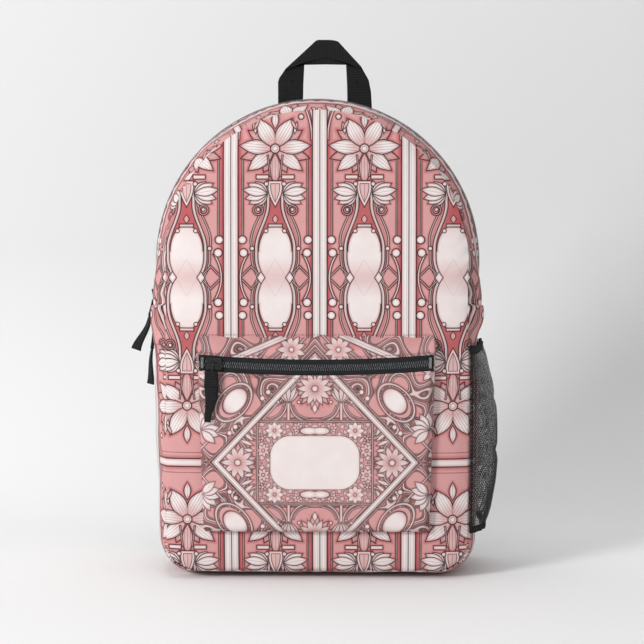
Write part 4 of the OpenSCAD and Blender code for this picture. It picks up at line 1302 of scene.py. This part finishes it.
# ---------------------------------------------------------------- inside
sleeve_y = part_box("sleeve_foam")[0].y
pillow("sleeve_cloth", node_outline("laptop_sleeve", 12 * MM), sleeve_y + 0.5 * MM, 1.6 * MM, 2.8 * MM,
       "root", ("laptop_sleeve", "sleeve_foam"), LINING, -1)
top_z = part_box("sleeve_binding")[1].z
band = [Vector((x * MM, sleeve_y + 0.4 * MM - 2.6 * MM, top_z - 5 * MM)) for x in range(-118, 119, 6)]
ribbon("sleeve_band", band, Vector((0, 0, 1)), 14 * MM, 1.2 * MM, "root", "sleeve_binding")


# ---------------------------------------------------------------- stitching
def stitches(name, pts, pitch=3.4 * MM):
    """A row of lock stitches along a line on the front of the bag."""
    bits, carry = [], 0.0
    for a, b in zip(pts, pts[1:]):
        run = (b - a).length
        while carry < run:
            c, d = a.lerp(b, carry / run), (b - a).normalized() * (pitch * 0.34)
            bits.append(capsule(c - d, c + d, 0.32 * MM, Vector((0, -1, 0)), 5))
            carry += pitch
        carry -= run
    settle(join_bits(name, bits, THREAD), "root")


xs = [x * MM for x in range(-108, 109, 3)]
rows = {
    "stitch_over_pocket_zip": lambda x: (POCKET_Y - 1.0 * MM, sag(x) + POCKET_TAPE + 2.0 * MM),
    "stitch_under_pocket_zip": lambda x: (POCKET_Y - pocket_swell(x, 0.97) - 0.9 * MM,
                                          sag(x) - POCKET_TAPE - 2.2 * MM),
    "stitch_pocket_top_seam": lambda x: (PANEL_Y - 5.6 * MM, POCKET_TOP_Z + 1.4 * MM),
}
for name, line in rows.items():
    stitches(name, [Vector((x, *line(x))) for x in xs])

# ---------------------------------------------------------------- carried-over frame parts
CARRIED = {
    "slider_metal": ENAMEL, "buckle_plastic": ACETAL, "zip_coil": COIL, "webbing": WEBBING, "lining": LINING,
    "foam": FOAM, "air_mesh": AIR_MESH, "zip_tape": TAPE, "printed_fabric": PRINTED, "pocket_mesh": NET,
}
slot_of = {s["node"]: s["material_slot"] for s in frame["record"]["subparts"]}
for node_name, obj in frame["nodes"].items():
    if obj.hide_render:
        continue
    obj.data.materials.clear()
    obj.data.materials.append(CARRIED[slot_of[node_name]])
    if slot_of[node_name] in ("slider_metal", "buckle_plastic"):
        soft_edge = obj.modifiers.new("soft_edge", "BEVEL")
        soft_edge.width = 0.35 * MM
        soft_edge.segments = 2
        soft_edge.limit_method = "ANGLE"


# ---------------------------------------------------------------- stage
PAPER_FLOOR, PAPER_WALL = (0.93, 0.93, 0.93, 1), (0.765, 0.765, 0.765, 1)


def stage_floor():
    """A pale floor that curves up into the backdrop."""
    bend_y, bend_r, far = 0.25, 0.4, 5.0
    turns = [math.pi / 2 * k / 16 for k in range(1, 17)]
    profile = [(-far, 0.0), (bend_y, 0.0)]
    profile += [(bend_y + bend_r * math.sin(a), bend_r - bend_r * math.cos(a)) for a in turns]
    profile += [(bend_y + bend_r, 3.5)]
    mesh = bpy.data.meshes.new("studio_floor")
    faces = [(2 * i, 2 * i + 1, 2 * i + 3, 2 * i + 2) for i in range(len(profile) - 1)]
    mesh.from_pydata([(x, y, z) for y, z in profile for x in (-far, far)], [], faces)
    mesh.shade_smooth()
    obj = bpy.data.objects.new("studio_floor", mesh)
    bpy.context.scene.collection.objects.link(obj)
    mat, tree, shader = new_material("studio_paper")
    place = tree.nodes.new("ShaderNodeNewGeometry")
    height = tree.nodes.new("ShaderNodeSeparateXYZ")
    tree.links.new(place.outputs["Position"], height.inputs[0])
    look(shader, mix(ramp(Ex(tree, height.outputs[2]), 0.0, 0.3), PAPER_FLOOR, PAPER_WALL), 0.9, 0.1)
    # the paper hides nothing when looked at from behind
    wire((shader.inputs["Alpha"], 1 - Ex(tree, place.outputs["Backfacing"])))
    mesh.materials.append(mat)


stage_floor()
